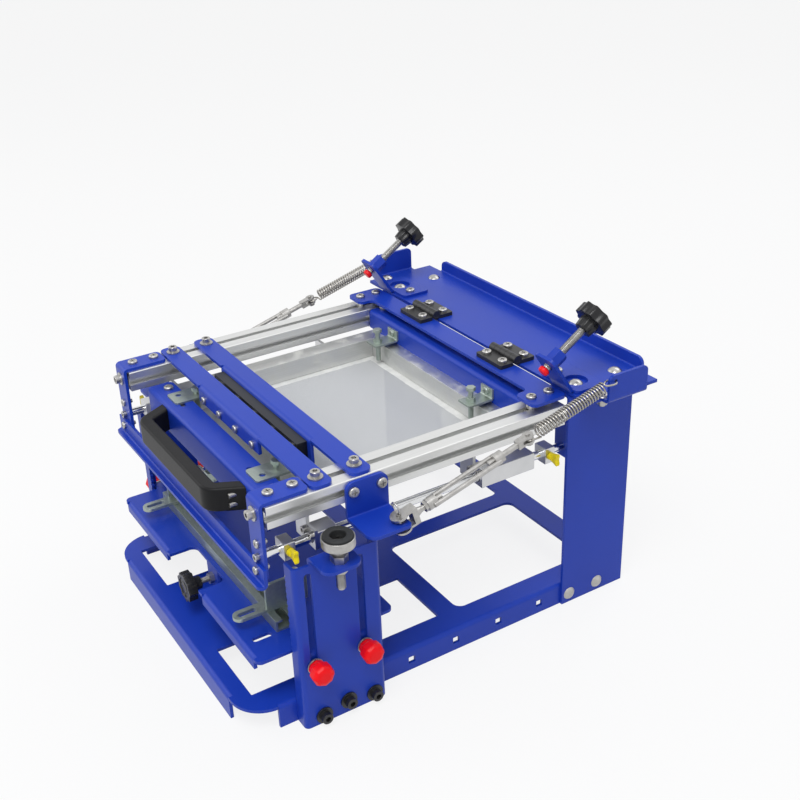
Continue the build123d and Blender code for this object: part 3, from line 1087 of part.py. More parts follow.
def front_clamp():
    """A plate under one channel screw, and a hexagon bolt that bears on the frame."""
    low = FRAME_TOP + SHEET
    x = (CLAMP_X - CLAMP_WIDTH / 2, CLAMP_X + CLAMP_WIDTH / 2)
    plate = prism(rounded_plate(x, (CLAMP_FRONT, CLAMP_REAR), 3), low, low + CLAMP_PLATE)
    screw = Pos(CLAMP_X + 4, CHANNEL_SCREW[1] + 1, low + CLAMP_PLATE)
    plate = drill(plate, M5 + HOLE_PLAY, 3 * SHEET, screw)
    bolt_place = Pos(CLAMP_X - 2, CLAMP_BOLT_Y, low + CLAMP_PLATE)
    plate = drill(plate, M5 + TAP_PLAY, 3 * SHEET, bolt_place)
    bolt = hex_bolt(M5, low + CLAMP_PLATE + 3 - CLAMP_BOLT_LOW)
    return [plate, bolt_place * Pos(0, 0, 3) * bolt, bolt_place * Pos(0, 0, -CLAMP_PLATE) * DOWN * nut(M5)]


def rear_clamp():
    """A small angle screwed to the rear channel, with its own hexagon bolt."""
    front = REAR_CHANNEL[0]
    section = bent([(REAR_CLAMP_BOLT_Y - 8, REAR_CLAMP_Z), (front, REAR_CLAMP_Z),
                    (front, REAR_CLAMP_Z + REAR_CLAMP_HEIGHT)], CLAMP_PLATE, BEND)
    angle = along_x(section, REAR_CLAMP_X - 9, REAR_CLAMP_X + 9)
    screw = Pos(REAR_CLAMP_X, front - CLAMP_PLATE, REAR_CLAMP_Z + REAR_CLAMP_UP) * FORWARD
    angle = drill(angle, M4 + HOLE_PLAY, 3 * SHEET, screw)
    at_bolt = Pos(REAR_CLAMP_X, REAR_CLAMP_BOLT_Y, 0)
    angle = drill(angle, M5 + TAP_PLAY, 4 * SHEET, at_bolt * Pos(0, 0, REAR_CLAMP_Z))
    under_head = REAR_CLAMP_BOLT_TOP - HEX_HEAD * M5
    pieces = [angle, at_bolt * Pos(0, 0, under_head) * hex_bolt(M5, under_head - CLAMP_BOLT_LOW)]
    screw_nut = Pos(0, 0, -SHEET - CLAMP_PLATE) * DOWN * nut(M4)
    pieces += placed(pan_screw(M4, SHEET + CLAMP_PLATE + 4) + [screw_nut], screw)
    pieces.append(at_bolt * Pos(0, 0, REAR_CLAMP_Z + CLAMP_PLATE) * nut(M5))
    return pieces


# handle
HANDLE_X = 88.0
HANDLE_BAR_X = 72.0
HANDLE_BAR_Y = -26.0
HANDLE_THICK = 13.0
HANDLE_Z = (180.0, 203.0)
HANDLE_SCREW_ZS = (187.0, 196.0)
HANDLE_SCREW = 14.0


def make_handle():
    foot = HANDLE_X + HANDLE_THICK / 2
    lean = (foot - HANDLE_BAR_X - 6) / (CHANNEL_FRONT - HANDLE_BAR_Y)
    top = (foot + 12 * lean, CHANNEL_FRONT + 12)
    corner = (HANDLE_BAR_X + 6, HANDLE_BAR_Y)
    path = [(-top[0], top[1]), (-corner[0], corner[1]), corner, top]
    plan = bent(path, HANDLE_THICK, 4)
    handle = prism(plan, *HANDLE_Z)
    handle -= box((-200, 200), (CHANNEL_FRONT, CHANNEL_FRONT + 60), (HANDLE_Z[0] - 1, HANDLE_Z[1] + 1))
    edges = handle.edges().filter_by(Plane.XY)
    rims = [e for e in edges if e.center().Y < CHANNEL_FRONT - 0.5]
    handle = fillet(rims, 2.6)
    for side in SIDES:
        places = [Pos(side * HANDLE_X, CHANNEL_FRONT, z) * FORWARD for z in HANDLE_SCREW_ZS]
        handle = drill(handle, M5 + TAP_PLAY, 2 * HANDLE_SCREW, *places)
    return handle


add("screen_frame", make_frame())
mesh_half = FRAME_HALF - MESH_GLUE
mesh_span = (FRAME_FRONT + MESH_FRONT, FRAME_REAR - MESH_GLUE)
mesh = box((-mesh_half, mesh_half), mesh_span, (FRAME_BOTTOM - MESH, FRAME_BOTTOM))
add("screen_mesh", mesh)
add("front_channel", make_front_channel())
add("rear_channel", make_rear_channel())
bearing_solids = []
carriage_set = []
for span in (FRONT_BLOCK, REAR_BLOCK):
    solids, screws = make_bearing(span)
    for solid in solids:
        bearing_solids += both_sides(solid)
    for screw in screws:
        carriage_set += both_sides(screw)
add("bearing_blocks", *bearing_solids)
clamp_solids = []
for piece in front_clamp() + rear_clamp():
    clamp_solids += both_sides(piece)
at_stud = Pos(*STUD_HOLE, 0)
clamp_solids.append(disc(M8, FRAME_TOP - STUD_LOW, at_stud * Pos(0, 0, STUD_LOW)))
clamp_solids.append(at_stud * Pos(0, 0, FRAME_BOTTOM) * DOWN * nut(M8))
clamp_solids.append(at_stud * Pos(0, 0, STUD_LOW + 4) * nut(M8))
add("frame_clamps", *clamp_solids)
for side in SIDES:
    x, y = CHANNEL_SCREW
    carriage_set += placed(pan_screw(M5, SHEET + FRAME_WALL + 4), Pos(side * x, y, FRAME_TOP + SHEET))
    x, y = REAR_CHANNEL_SCREW
    carriage_set += placed(pan_screw(M5, SHEET + 6), Pos(side * x, y, REAR_CHANNEL_TOP))
    carriage_set.append(Pos(side * x, y, REAR_CHANNEL_TOP - SHEET) * DOWN * nut(M5))
    for z in HANDLE_SCREW_ZS:
        place = Pos(side * HANDLE_X, CHANNEL_FRONT + SHEET, z) * BACKWARD
        carriage_set.append(disc(M5, HANDLE_SCREW + SHEET, place * Pos(0, 0, -HANDLE_SCREW - SHEET)))
add("carriage_screws", *carriage_set)
add("handle", make_handle())

# ---------------------------------------------------------------- stop collars and wing screws
COLLAR_YS = (10.0, 276.0)
COLLAR_LENGTH = 10.0
COLLAR_SIZE = 16.0
WING_REACH = 6.2
WING_STEM = 4.0
WING_HALF = 1.6             # half the thickness of a wing
for side, name in zip(SIDES, ("left", "right")):
    for y, end in zip(COLLAR_YS, ("front", "rear")):
        middle = Pos(side * SHAFT_X, y, SHAFT_Z)
        collar = Box(COLLAR_SIZE, COLLAR_LENGTH, COLLAR_SIZE)
        collar = fillet(collar.edges().filter_by(Axis.Y), 1.0)
        collar = drill(collar, SHAFT_RADIUS + RUNNING, 2 * COLLAR_LENGTH, FORWARD)
        out = outward(side)
        collar = drill(collar, M5 + RUNNING, COLLAR_SIZE, out * Pos(0, 0, COLLAR_SIZE / 2))
        add(f"stop_collar_{end}_{name}", middle * collar)
        screw = disc(M5, COLLAR_SIZE / 2 - SHAFT_RADIUS + WING_STEM, Pos(0, 0, SHAFT_RADIUS + FREE))
        hub = disc(3.8, WING_STEM, Pos(0, 0, COLLAR_SIZE / 2 + FREE))
        start = COLLAR_SIZE / 2 + FREE + WING_STEM
        wings = Pos(0, start + 3.5) * fillet(Rectangle(2 * WING_REACH, 9).vertices(), 3)
        wings = extrude(Plane.XZ * wings, WING_HALF, both=True)
        add(f"wing_screw_{end}_{name}", middle * out * (screw + hub + wings))

# ---------------------------------------------------------------- spring links
LINK_START = Vector(SPRING_X, ANCHOR_Y, ANCHOR_Z)
LINK_END = Vector(SPRING_X, HOOK_Y, HOOK_Z)
LINK_LENGTH = (LINK_END - LINK_START).length
LINK_PLACE = Plane(origin=LINK_START, x_dir=(1, 0, 0), z_dir=LINK_END - LINK_START).location
COIL_LENGTH = COIL_TURNS * COIL_PITCH
REAR_LOOP = LINK_LENGTH - HOOK_RADIUS
SPRING_MIDDLE = REAR_LOOP - HOOK_RADIUS - HOOK_NECK - COIL_LENGTH / 2
FRONT_LOOP = SPRING_MIDDLE - COIL_LENGTH / 2 - HOOK_NECK - HOOK_RADIUS
SPRING_PIN = FRONT_LOOP - HOOK_RADIUS + WIRE / 2 + FREE + JAW_PIN
CHEEK = 2.0
JAW_GAP = 6.0               # half the gap between the front jaw's cheeks
CHEEK_RADIUS = 7.5
REAR_GAP = 1.6
REAR_CHEEK = 5.0
JAW_LENGTH = 15.0
REAR_JAW_LENGTH = 11.0
YOKE = 5.0                  # length of the solid part that joins two cheeks
ROD = 2.6
BODY = (26.0, 105.0)
BOSS = 9.0
BODY_ROD = 2.2
BODY_HALF = 5.4
RING_RADIUS = 5.0
RING_WIRE = 0.7


def make_cheek(radius, reach, low, high, direction):
    """One cheek of a jaw: a round end on the pin that narrows towards the yoke."""
    yoke = Pos(0, direction * reach / 2) * Rectangle(radius * 1.3, reach)
    outline = Circle(radius) + yoke
    return extrude(Plane.XZ * outline, high - low, dir=(0, 1, 0)).translate(Vector(0, low, 0))


def make_front_jaw():
    outer = JAW_GAP + CHEEK
    jaw = make_cheek(CHEEK_RADIUS, JAW_LENGTH, JAW_GAP, outer, 1)
    jaw += make_cheek(CHEEK_RADIUS, JAW_LENGTH, -outer, -JAW_GAP, 1)
    jaw += Pos(0, 0, JAW_LENGTH - YOKE / 2) * Box(CHEEK_RADIUS * 1.3, 2 * outer, YOKE)
    jaw = drill(jaw, JAW_PIN + TAP_PLAY, 4 * outer, BACKWARD)
    jaw += Pos(0, 0, JAW_LENGTH) * Cone(4.2, ROD, 5, align=(Align.CENTER, Align.CENTER, Align.MIN))
    jaw += disc(ROD, BODY[0] + BOSS + 6 - JAW_LENGTH, Pos(0, 0, JAW_LENGTH))
    pin = disc(JAW_PIN, 2 * outer + 6, BACKWARD * Pos(0, 0, -outer - 4.5))
    pin += disc(JAW_PIN + 1.4, 1.5, BACKWARD * Pos(0, 0, outer))
    hole = Pos(0, -outer - 2.7, 0)
    pin = drill(pin, RING_WIRE + 0.55, 8 * JAW_PIN, hole * RIGHT)
    split = hole * Pos(0, -RING_RADIUS, 0) * Torus(RING_RADIUS, RING_WIRE)
    return [jaw, pin, split]


def make_rear_jaw():
    outer = REAR_GAP + CHEEK
    yoke = SPRING_PIN - REAR_JAW_LENGTH - 0.5
    jaw = make_cheek(REAR_CHEEK, REAR_JAW_LENGTH, REAR_GAP, outer, -1)
    jaw += make_cheek(REAR_CHEEK, REAR_JAW_LENGTH, -outer, -REAR_GAP, -1)
    jaw = Pos(0, 0, SPRING_PIN) * drill(jaw, JAW_PIN + TAP_PLAY, 4 * outer, BACKWARD)
    jaw += Pos(0, 0, yoke + 1.5) * Box(REAR_CHEEK * 1.3, 2 * outer, YOKE)
    jaw += disc(ROD, yoke - BODY[1] + BOSS + 6, Pos(0, 0, BODY[1] - BOSS - 6))
    pin_length = 2 * outer + 3
    pin = Pos(0, 0, SPRING_PIN) * disc(JAW_PIN, pin_length, BACKWARD * Pos(0, 0, -outer - 1.5))
    pin += Pos(0, 0, SPRING_PIN) * disc(JAW_PIN + 1.2, 1.2, BACKWARD * Pos(0, 0, outer + 1.5))
    return [jaw, pin]


def make_body():
    low, high = BODY
    body = disc(BODY_HALF, BOSS, Pos(0, 0, low)) + disc(BODY_HALF, BOSS, Pos(0, 0, high - BOSS))
    for s in SIDES:
        body += disc(BODY_ROD, high - low - BOSS, Pos(s * BODY_HALF, 0, low + BOSS / 2))
    body = drill(body, ROD + 0.1, 4 * BOSS, Pos(0, 0, low), Pos(0, 0, high))
    lock = Pos(0, 0, low - 3) * (extrude(hexagon(8.5), 3) - disc(ROD + TAP_PLAY, 3))
    return [body, lock]


def unit_step(radius, angle, rise):
    """A point on the coil and the direction of the wire there."""
    a = 2 * math.pi * angle
    point = Vector(radius * math.cos(a), radius * math.sin(a), rise * angle)
    heading = Vector(-2 * math.pi * radius * math.sin(a), 2 * math.pi * radius * math.cos(a), rise)
    return point, heading.normalized()


def double_arc(p, t, q, u):
    """Two arcs from p along t to q along u."""
    v = q - p
    both = t + u
    a = 2 * (1 - t.dot(u))
    b = v.dot(both)
    c = v.dot(v)
    d = (-b + math.sqrt(b * b + a * c)) / a
    middle = (p + t * d + q - u * d) * 0.5
    first = Edge.make_tangent_arc(p, t, middle)
    return [first, Edge.make_tangent_arc(middle, first.tangent_at(1), q)]


def make_spring():
    """The coil and both hooks in one wire, centred on its own middle."""
    half = COIL_TURNS / 2 - 0.11
    steps = round(4 * half)
    coil = [unit_step(COIL_RADIUS, -half + 2 * half * i / steps, COIL_PITCH) for i in range(steps + 1)]
    loop_z = COIL_LENGTH / 2 + HOOK_NECK + HOOK_RADIUS
    rear = []
    for degrees in (25, 90, 160, 235):
        a = math.radians(degrees)
        point = Vector(HOOK_RADIUS * math.cos(a), 0, loop_z + HOOK_RADIUS * math.sin(a))
        rear.append((point, Vector(-math.sin(a), 0, math.cos(a))))
    front = [(Vector(p.X, -p.Y, -p.Z), Vector(-t.X, t.Y, t.Z)) for p, t in reversed(rear)]
    stations = front + coil + rear
    start, heading = stations[0]
    edges = [Edge.make_line(start - heading * WIRE, start)]
    for (p, t), (q, u) in zip(stations, stations[1:]):
        edges += double_arc(p, t, q, u)
    end, heading = stations[-1]
    edges.append(Edge.make_line(end, end + heading * WIRE))
    path = Wire(edges)
    print("least gap in the spring wire:", round(least_gap(edges), 2))
    section = Plane(origin=path @ 0, z_dir=path % 0) * Circle(WIRE / 2)
    return sweep(section, path=path)


def least_gap(edges, share=8):
    """The smallest gap between parts of the wire more than four diameters apart along it."""
    points = []
    along = 0.0
    for edge in edges:
        for i in range(share):
            points.append((along + edge.length * i / share, edge @ (i / share)))
        along += edge.length
    best = 99.0
    for i, (a, p) in enumerate(points):
        for b, q in points[i + 1:]:
            if 4 * WIRE < b - a and abs(q.Z - p.Z) < 2 * WIRE:
                best = min(best, (q - p).length)
    return best - WIRE


spring = Pos(0, 0, SPRING_MIDDLE) * make_spring()
left_spring, right_spring = both_sides(LINK_PLACE * spring)
add("spring_left", left_spring)
add("spring_right", right_spring)
link_solids = [LINK_PLACE * solid for solid in make_front_jaw() + make_body() + make_rear_jaw()]
left_link, right_link = zip(*[both_sides(solid) for solid in link_solids])
add("turnbuckle_left", *left_link)
add("turnbuckle_right", *right_link)

# ---------------------------------------------------------------- hand over the nodes
os.makedirs("parts", exist_ok=True)
shift = Pos(0, -(BASE_FRONT + TRAY_REAR) / 2, 0)
for name, shape in NODES.items():
    export_step(shift * shape, f"parts/{name}.step")
print(len(NODES), "nodes")
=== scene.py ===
# %% [markdown]
# # A tabletop screen printing press in Blender
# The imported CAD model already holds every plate, rail, screw and knob of the press at its real
# size. This lesson gives those parts the finishes of the real ones, and models the pieces that
# solids describe poorly: the wound springs, the woven screen, threads and moulded knobs.
# Everything is in metres. X runs across the press, Y from the handle to the tray, Z up.

# %% Load the frame
import json
import math

import bpy
from mathutils import Matrix, Vector


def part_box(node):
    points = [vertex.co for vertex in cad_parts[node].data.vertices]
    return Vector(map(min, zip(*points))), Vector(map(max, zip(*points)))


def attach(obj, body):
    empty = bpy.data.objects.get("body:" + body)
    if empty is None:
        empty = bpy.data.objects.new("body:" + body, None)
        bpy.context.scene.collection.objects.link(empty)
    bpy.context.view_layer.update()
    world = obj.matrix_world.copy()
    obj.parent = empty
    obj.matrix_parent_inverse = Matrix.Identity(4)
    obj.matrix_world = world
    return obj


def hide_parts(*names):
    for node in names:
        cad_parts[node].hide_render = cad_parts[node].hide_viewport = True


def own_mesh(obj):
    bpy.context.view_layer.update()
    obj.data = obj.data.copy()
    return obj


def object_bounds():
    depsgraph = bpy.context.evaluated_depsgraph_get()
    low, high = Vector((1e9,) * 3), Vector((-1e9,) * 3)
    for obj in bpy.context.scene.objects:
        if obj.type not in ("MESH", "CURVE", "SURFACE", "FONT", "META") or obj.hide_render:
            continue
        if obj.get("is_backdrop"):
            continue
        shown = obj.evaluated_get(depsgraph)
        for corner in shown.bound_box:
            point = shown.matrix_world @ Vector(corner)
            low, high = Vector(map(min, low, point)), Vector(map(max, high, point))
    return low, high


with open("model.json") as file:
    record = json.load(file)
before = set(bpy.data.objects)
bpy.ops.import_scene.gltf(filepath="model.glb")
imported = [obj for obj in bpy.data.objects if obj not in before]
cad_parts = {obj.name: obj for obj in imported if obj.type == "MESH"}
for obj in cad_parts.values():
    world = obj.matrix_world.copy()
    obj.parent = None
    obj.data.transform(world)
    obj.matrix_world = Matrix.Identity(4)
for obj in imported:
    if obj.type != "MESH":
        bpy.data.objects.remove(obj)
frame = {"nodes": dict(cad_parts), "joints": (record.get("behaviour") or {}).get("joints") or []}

cad_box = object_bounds()
print("size in mm:", [round(1000 * (b - a), 1) for a, b in zip(*cad_box)])

# %% [markdown]
# ## Where things are
# A node's box says where the part is, so no place has to be typed in twice. These few helpers
# turn boxes into middles and sizes, and give the mirror image of a right-hand place.

# %% Read places from the frame
MM = 0.001
SIDES = {"left": -1, "right": 1}


def middle(node):
    """The middle of a node's box."""
    low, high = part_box(node)
    return (low + high) / 2


def span(node):
    """The three side lengths of a node's box."""
    low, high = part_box(node)
    return high - low


def joint(name):
    """A joint of the frame, by its name."""
    return next(j for j in frame["joints"] if j["name"] == name)


print("rails:", [round(v / MM, 1) for v in span("side_rails")], "mm")

# %% [markdown]
# ## Shader arithmetic
# A node tree is easier to read as a formula than as a web of links. Signal wraps one output
# socket, and its operators add Math nodes, so that `0.3 + 0.1 * grain` builds what it says.
# Finish holds one material, and its single node() method makes every other kind of node.

# %% A small language for materials
class Signal:
    """What leaves one socket of a shader node."""

    def __init__(self, finish, socket):
        self.finish = finish
        self.socket = socket

    def math(self, operation, *values):
        return self.finish.node("ShaderNodeMath", {"operation": operation}, values)

    def __add__(self, other):
        return self.math("ADD", self, other)

    def __sub__(self, other):
        return self.math("SUBTRACT", self, other)

    def __rsub__(self, other):
        return self.math("SUBTRACT", other, self)

    def __mul__(self, other):
        return self.math("MULTIPLY", self, other)

    def __truediv__(self, other):
        return self.math("DIVIDE", self, other)

    def __gt__(self, other):
        return self.math("GREATER_THAN", self, other)

    def __lt__(self, other):
        return self.math("LESS_THAN", self, other)

    def __abs__(self):
        return self.math("ABSOLUTE", self)

    def sine(self):
        return self.math("SINE", self)

    def clipped(self):
        return self.finish.node("ShaderNodeClamp", {}, [self, 0.0, 1.0])

    __radd__ = __add__
    __rmul__ = __mul__


class Finish:
    """One material: a Principled shader and the nodes that feed it."""

    def __init__(self, name, **fixed):
        self.name = name
        self.material = bpy.data.materials.new(f"{name}_finish")
        self.material.use_nodes = True
        self.tree = self.material.node_tree
        self.tree.nodes.clear()
        self.shader = self.tree.nodes.new("ShaderNodeBsdfPrincipled")
        self.output = self.tree.nodes.new("ShaderNodeOutputMaterial")
        self.tree.links.new(self.shader.outputs[0], self.output.inputs["Surface"])
        self.feed({key.replace("_", " ").title(): value for key, value in fixed.items()})

    def plug(self, socket, value):
        if isinstance(value, Signal):
            self.tree.links.new(value.socket, socket)
        else:
            socket.default_value = value

    def feed(self, inputs):
        """Values or signals for the Principled shader's own sockets."""
        for name, value in inputs.items():
            self.plug(self.shader.inputs[name], value)

    def node(self, kind, settings=None, inputs=(), output=0):
        made = self.tree.nodes.new(kind)
        for name, value in (settings or {}).items():
            setattr(made, name, value)
        pairs = inputs.items() if isinstance(inputs, dict) else enumerate(inputs)
        for key, value in pairs:
            self.plug(made.inputs[key], value)
        return Signal(self, made.outputs[output])

    def place(self, scale=(1, 1, 1), turn=(0, 0, 0), shift=(0, 0, 0)):
        """Object coordinates in metres, stretched, turned and moved."""
        here = self.node("ShaderNodeTexCoord", output="Object")
        return self.node("ShaderNodeMapping", {}, {"Vector": here, "Scale": scale,
                                                   "Rotation": turn, "Location": shift})

    def axes(self, **placing):
        """The three object coordinates as separate signals."""
        where = self.place(**placing)
        return [self.node("ShaderNodeSeparateXYZ", {}, [where], output=i) for i in range(3)]

    def noise(self, per_metre, detail=2.0, **placing):
        """Soft random values from 0 to 1, with so many features per metre."""
        where = self.place(**placing)
        return self.node("ShaderNodeTexNoise", {}, {"Vector": where, "Scale": per_metre, "Detail": detail})

    def cells(self, per_metre, **placing):
        """A random value for each small cell of the surface."""
        where = self.place(**placing)
        cell = self.node("ShaderNodeTexVoronoi", {}, {"Vector": where, "Scale": per_metre}, "Color")
        return self.node("ShaderNodeSeparateColor", {}, [cell])

    def mix(self, factor, first, second):
        """A colour between two, by factor."""
        return self.node("ShaderNodeMix", {"data_type": "RGBA"}, {0: factor, 6: first, 7: second}, 2)

    def soft_edges(self, radius):
        """The surface direction with every sharp edge rounded to radius."""
        return self.node("ShaderNodeBevel", {"samples": 4}, {"Radius": radius})

    def edge_highlight_mask(self, rounded, gain):
        """From 0 on a flat to 1 where the rounded direction leaves the true one; painted edge highlights follow it.
        """
        true = self.node("ShaderNodeNewGeometry", output="Normal")
        agree = self.node("ShaderNodeVectorMath", {"operation": "DOT_PRODUCT"}, [rounded, true], "Value")
        return ((1 - agree) * gain).clipped()

    def bump(self, height, distance, normal=None):
        """A normal pushed about by height; distance is in metres."""
        inputs = {"Height": height, "Distance": distance, "Strength": 1.0}
        if normal is not None:
            inputs["Normal"] = normal
        return self.node("ShaderNodeBump", {}, inputs)


def rgb(red, green, blue):
    return (red, green, blue, 1.0)


FINISHES = {}


def register(finish):
    """Keeps a finish under its own name."""
    FINISHES[finish.name] = finish.material
    print("finish:", finish.name, "with", len(finish.tree.nodes), "nodes")


# %% [markdown]
# ## Blue powder coat
# The sheet parts are bent steel with a deep blue coat baked on. Such a coat has a fine orange
# peel, a soft shine, and it draws back from sharp edges. A flat colour would look like paper, so
# the shine varies, the peel is bumped, and the Bevel node both rounds the edges and finds them
# for a paler rim: a painted highlight along every edge, where the coat is also thinner.

# %% Blue powder coat
EDGE_RADIUS = 0.7 * MM


def blue_powder_coat():
    finish = Finish("blue_powder_coat", coat_weight=0.08, coat_roughness=0.15)
    peel = finish.noise(900, 2.0)
    drift = finish.noise(14, 3.0)
    rounded = finish.soft_edges(EDGE_RADIUS)
    rim = finish.edge_highlight_mask(rounded, 1.6)
    coat = finish.mix(drift, rgb(0.006, 0.036, 0.37), rgb(0.010, 0.050, 0.46))
    # The paler rim is a painted highlight along every edge, where the coat also runs thinner.
    colour = finish.mix(rim * 0.45, coat, rgb(0.07, 0.14, 0.58))
    finish.feed({"Base Color": colour, "Specular IOR Level": 0.25,
                 "Roughness": 0.30 + 0.10 * drift + 0.08 * peel,
                 "Normal": finish.bump(peel, 0.05 * MM, rounded)})
    return finish


register(blue_powder_coat())

# %% [markdown]
# ## Aluminium
# The rails are drawn through a die, which leaves fine lines along them under the satin anodised
# skin. The screen frame is drawn tube too, but its four members are mitred, so the lines turn at
# the corners. Machined blocks are brighter, with the faint marks of a cutter.

# %% Aluminium finishes
RAIL_LINES = 1500.0


def drawn_lines(finish, along, spread=RAIL_LINES):
    """Streaks that run along X (0) or Y (1)."""
    scale = [spread, spread, spread]
    scale[along] = spread / 150
    return finish.noise(1.0, 2.0, scale=tuple(scale))


def anodised_rail():
    finish = Finish("anodised_rail", metallic=1.0)
    lines = drawn_lines(finish, 1)
    cloud = finish.noise(40, 3.0)
    rounded = finish.soft_edges(0.3 * MM)
    colour = finish.mix(lines, rgb(0.62, 0.63, 0.63), rgb(0.78, 0.78, 0.77))
    finish.feed({"Base Color": colour, "Roughness": 0.30 + 0.14 * lines + 0.08 * cloud,
                 "Normal": finish.bump(lines, 0.012 * MM, rounded)})
    return finish


def mitred_frame():
    finish = Finish("mitred_frame", metallic=1.0)
    low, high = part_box("screen_frame")
    centre = (low + high) / 2
    half = (high - low) / 2
    x, y, z = finish.axes(shift=(-centre.x, -centre.y, 0))
    beyond = (abs(x) - half.x) - (abs(y) - half.y)
    side_member = beyond > 0
    seam = abs(beyond) < 0.4 * MM
    lines = drawn_lines(finish, 0) * (1 - side_member) + drawn_lines(finish, 1) * side_member
    smear = finish.noise(70, 5.0)
    film = ((smear - 0.52) * 5).clipped()
    bare = finish.mix(lines, rgb(0.61, 0.62, 0.61), rgb(0.77, 0.77, 0.76))
    dull = finish.mix(film * 0.6, bare, rgb(0.68, 0.68, 0.64))
    colour = finish.mix(seam * 0.5, dull, rgb(0.30, 0.30, 0.30))
    finish.feed({"Base Color": colour, "Roughness": 0.34 + 0.12 * lines + 0.2 * film,
                 "Metallic": 1 - 0.35 * film,
                 "Normal": finish.bump(lines - seam, 0.015 * MM, finish.soft_edges(0.5 * MM))})
    return finish


# The squeegee holder is coloured near black, which paints the shade that lies between the squeegee bars.
def dark_anodised():
    finish = Finish("dark_anodised", metallic=0.9)
    lines = drawn_lines(finish, 0)
    rounded = finish.soft_edges(0.4 * MM)
    rim = finish.edge_highlight_mask(rounded, 1.2)
    skin = finish.mix(lines, rgb(0.020, 0.022, 0.030), rgb(0.045, 0.048, 0.060))
    # The pale grey rim is a painted highlight along every edge.
    finish.feed({"Base Color": finish.mix(rim * 0.4, skin, rgb(0.30, 0.31, 0.33)),
                 "Roughness": 0.32 + 0.12 * lines, "Normal": finish.bump(lines, 0.012 * MM, rounded)})
    return finish


def machined_aluminium():
    finish = Finish("machined_aluminium", metallic=1.0)
    marks = drawn_lines(finish, 0, 900)
    cloud = finish.noise(60, 2.0)
    rounded = finish.soft_edges(0.4 * MM)
    colour = finish.mix(cloud, rgb(0.54, 0.55, 0.56), rgb(0.68, 0.68, 0.69))
    finish.feed({"Base Color": colour, "Roughness": 0.24 + 0.14 * marks,
                 "Normal": finish.bump(marks, 0.012 * MM, rounded)})
    return finish


for make in (anodised_rail, mitred_frame, dark_anodised, machined_aluminium):
    register(make())

# %% [markdown]
# ## Steel
# Screws and links carry bright zinc, which is mirror-like but never quite even. The track and
# the slotted straps have a duller, greener plating with a spangle of crystals. The guide shafts
# are ground, so their marks run round them and they shine most of all.

# %% Steel finishes


def bright_steel():
    finish = Finish("bright_steel", metallic=1.0)
    cloud = finish.noise(220, 3.0)
    rounded = finish.soft_edges(0.25 * MM)
    colour = finish.mix(cloud, rgb(0.30, 0.295, 0.285), rgb(0.58, 0.57, 0.555))
    finish.feed({"Base Color": colour, "Roughness": 0.24 + 0.18 * cloud,
                 "Normal": finish.bump(cloud, 0.02 * MM, rounded)})
    return finish


def spangled_zinc():
    finish = Finish("spangled_zinc", metallic=0.85)
    crystal = finish.cells(420)
    cloud = finish.noise(60, 3.0)
    rounded = finish.soft_edges(0.4 * MM)
    colour = finish.mix(crystal * 0.4 + cloud * 0.6, rgb(0.32, 0.37, 0.34), rgb(0.44, 0.50, 0.45))
    finish.feed({"Base Color": colour, "Roughness": 0.36 + 0.08 * crystal,
                 "Normal": finish.bump(cloud, 0.02 * MM, rounded)})
    return finish


def ground_shaft():
    finish = Finish("ground_shaft", metallic=1.0)
    rings = finish.noise(1.0, 1.0, scale=(20, 4000, 20))
    haze = finish.noise(90, 2.0)
    colour = finish.mix(haze, rgb(0.66, 0.67, 0.68), rgb(0.78, 0.79, 0.80))
    finish.feed({"Base Color": colour, "Roughness": 0.10 + 0.10 * rings,
                 "Normal": finish.bump(rings, 0.004 * MM)})
    return finish


def spring_wire():
    finish = Finish("spring_wire", metallic=1.0)
    draw = finish.noise(600, 2.0)
    colour = finish.mix(draw, rgb(0.22, 0.21, 0.19), rgb(0.50, 0.48, 0.45))
    finish.feed({"Base Color": colour, "Roughness": 0.16 + 0.14 * draw,
                 "Normal": finish.bump(draw, 0.015 * MM)})
    return finish


def black_steel():
    finish = Finish("black_steel")
    grain = finish.noise(1100, 2.0)
    cloud = finish.noise(50, 2.0)
    rounded = finish.soft_edges(0.4 * MM)
    rim = finish.edge_highlight_mask(rounded, 1.4)
    paint = finish.mix(cloud, rgb(0.008, 0.008, 0.009), rgb(0.018, 0.018, 0.020))
    # The lighter rim is a painted highlight along every edge of the black parts.
    finish.feed({"Base Color": finish.mix(rim * 0.5, paint, rgb(0.07, 0.07, 0.075)),
                 "Roughness": 0.28 + 0.18 * grain,
                 "Normal": finish.bump(grain, 0.03 * MM, rounded)})
    return finish


for make in (bright_steel, spangled_zinc, ground_shaft, spring_wire, black_steel):
    register(make())

# %% [markdown]
# ## Moulded plastic and rubber
# The handle is a satin moulding with a spark-eroded grain, the star knobs are glossier, and the
# red and yellow grips are bright solid colours. Each keeps its colour even and lets a fine grain
# change the shine, and none is given the full mirror share, which would veil so deep a colour.

# %% Plastic and rubber finishes


def moulding(name, dark, light, roughness, grain_depth=0.02, edge=0.5, shine=0.3):
    """A moulded finish; dark and light bound its colour, and shine is its mirror share."""
    finish = Finish(name)
    grain = finish.noise(1600, 2.0)
    cloud = finish.noise(45, 2.0)
    rounded = finish.soft_edges(edge * MM)
    finish.feed({"Base Color": finish.mix(cloud, dark, light), "Specular IOR Level": shine,
                 "Roughness": roughness + 0.10 * grain,
                 "Normal": finish.bump(grain, grain_depth * MM, rounded)})
    return finish


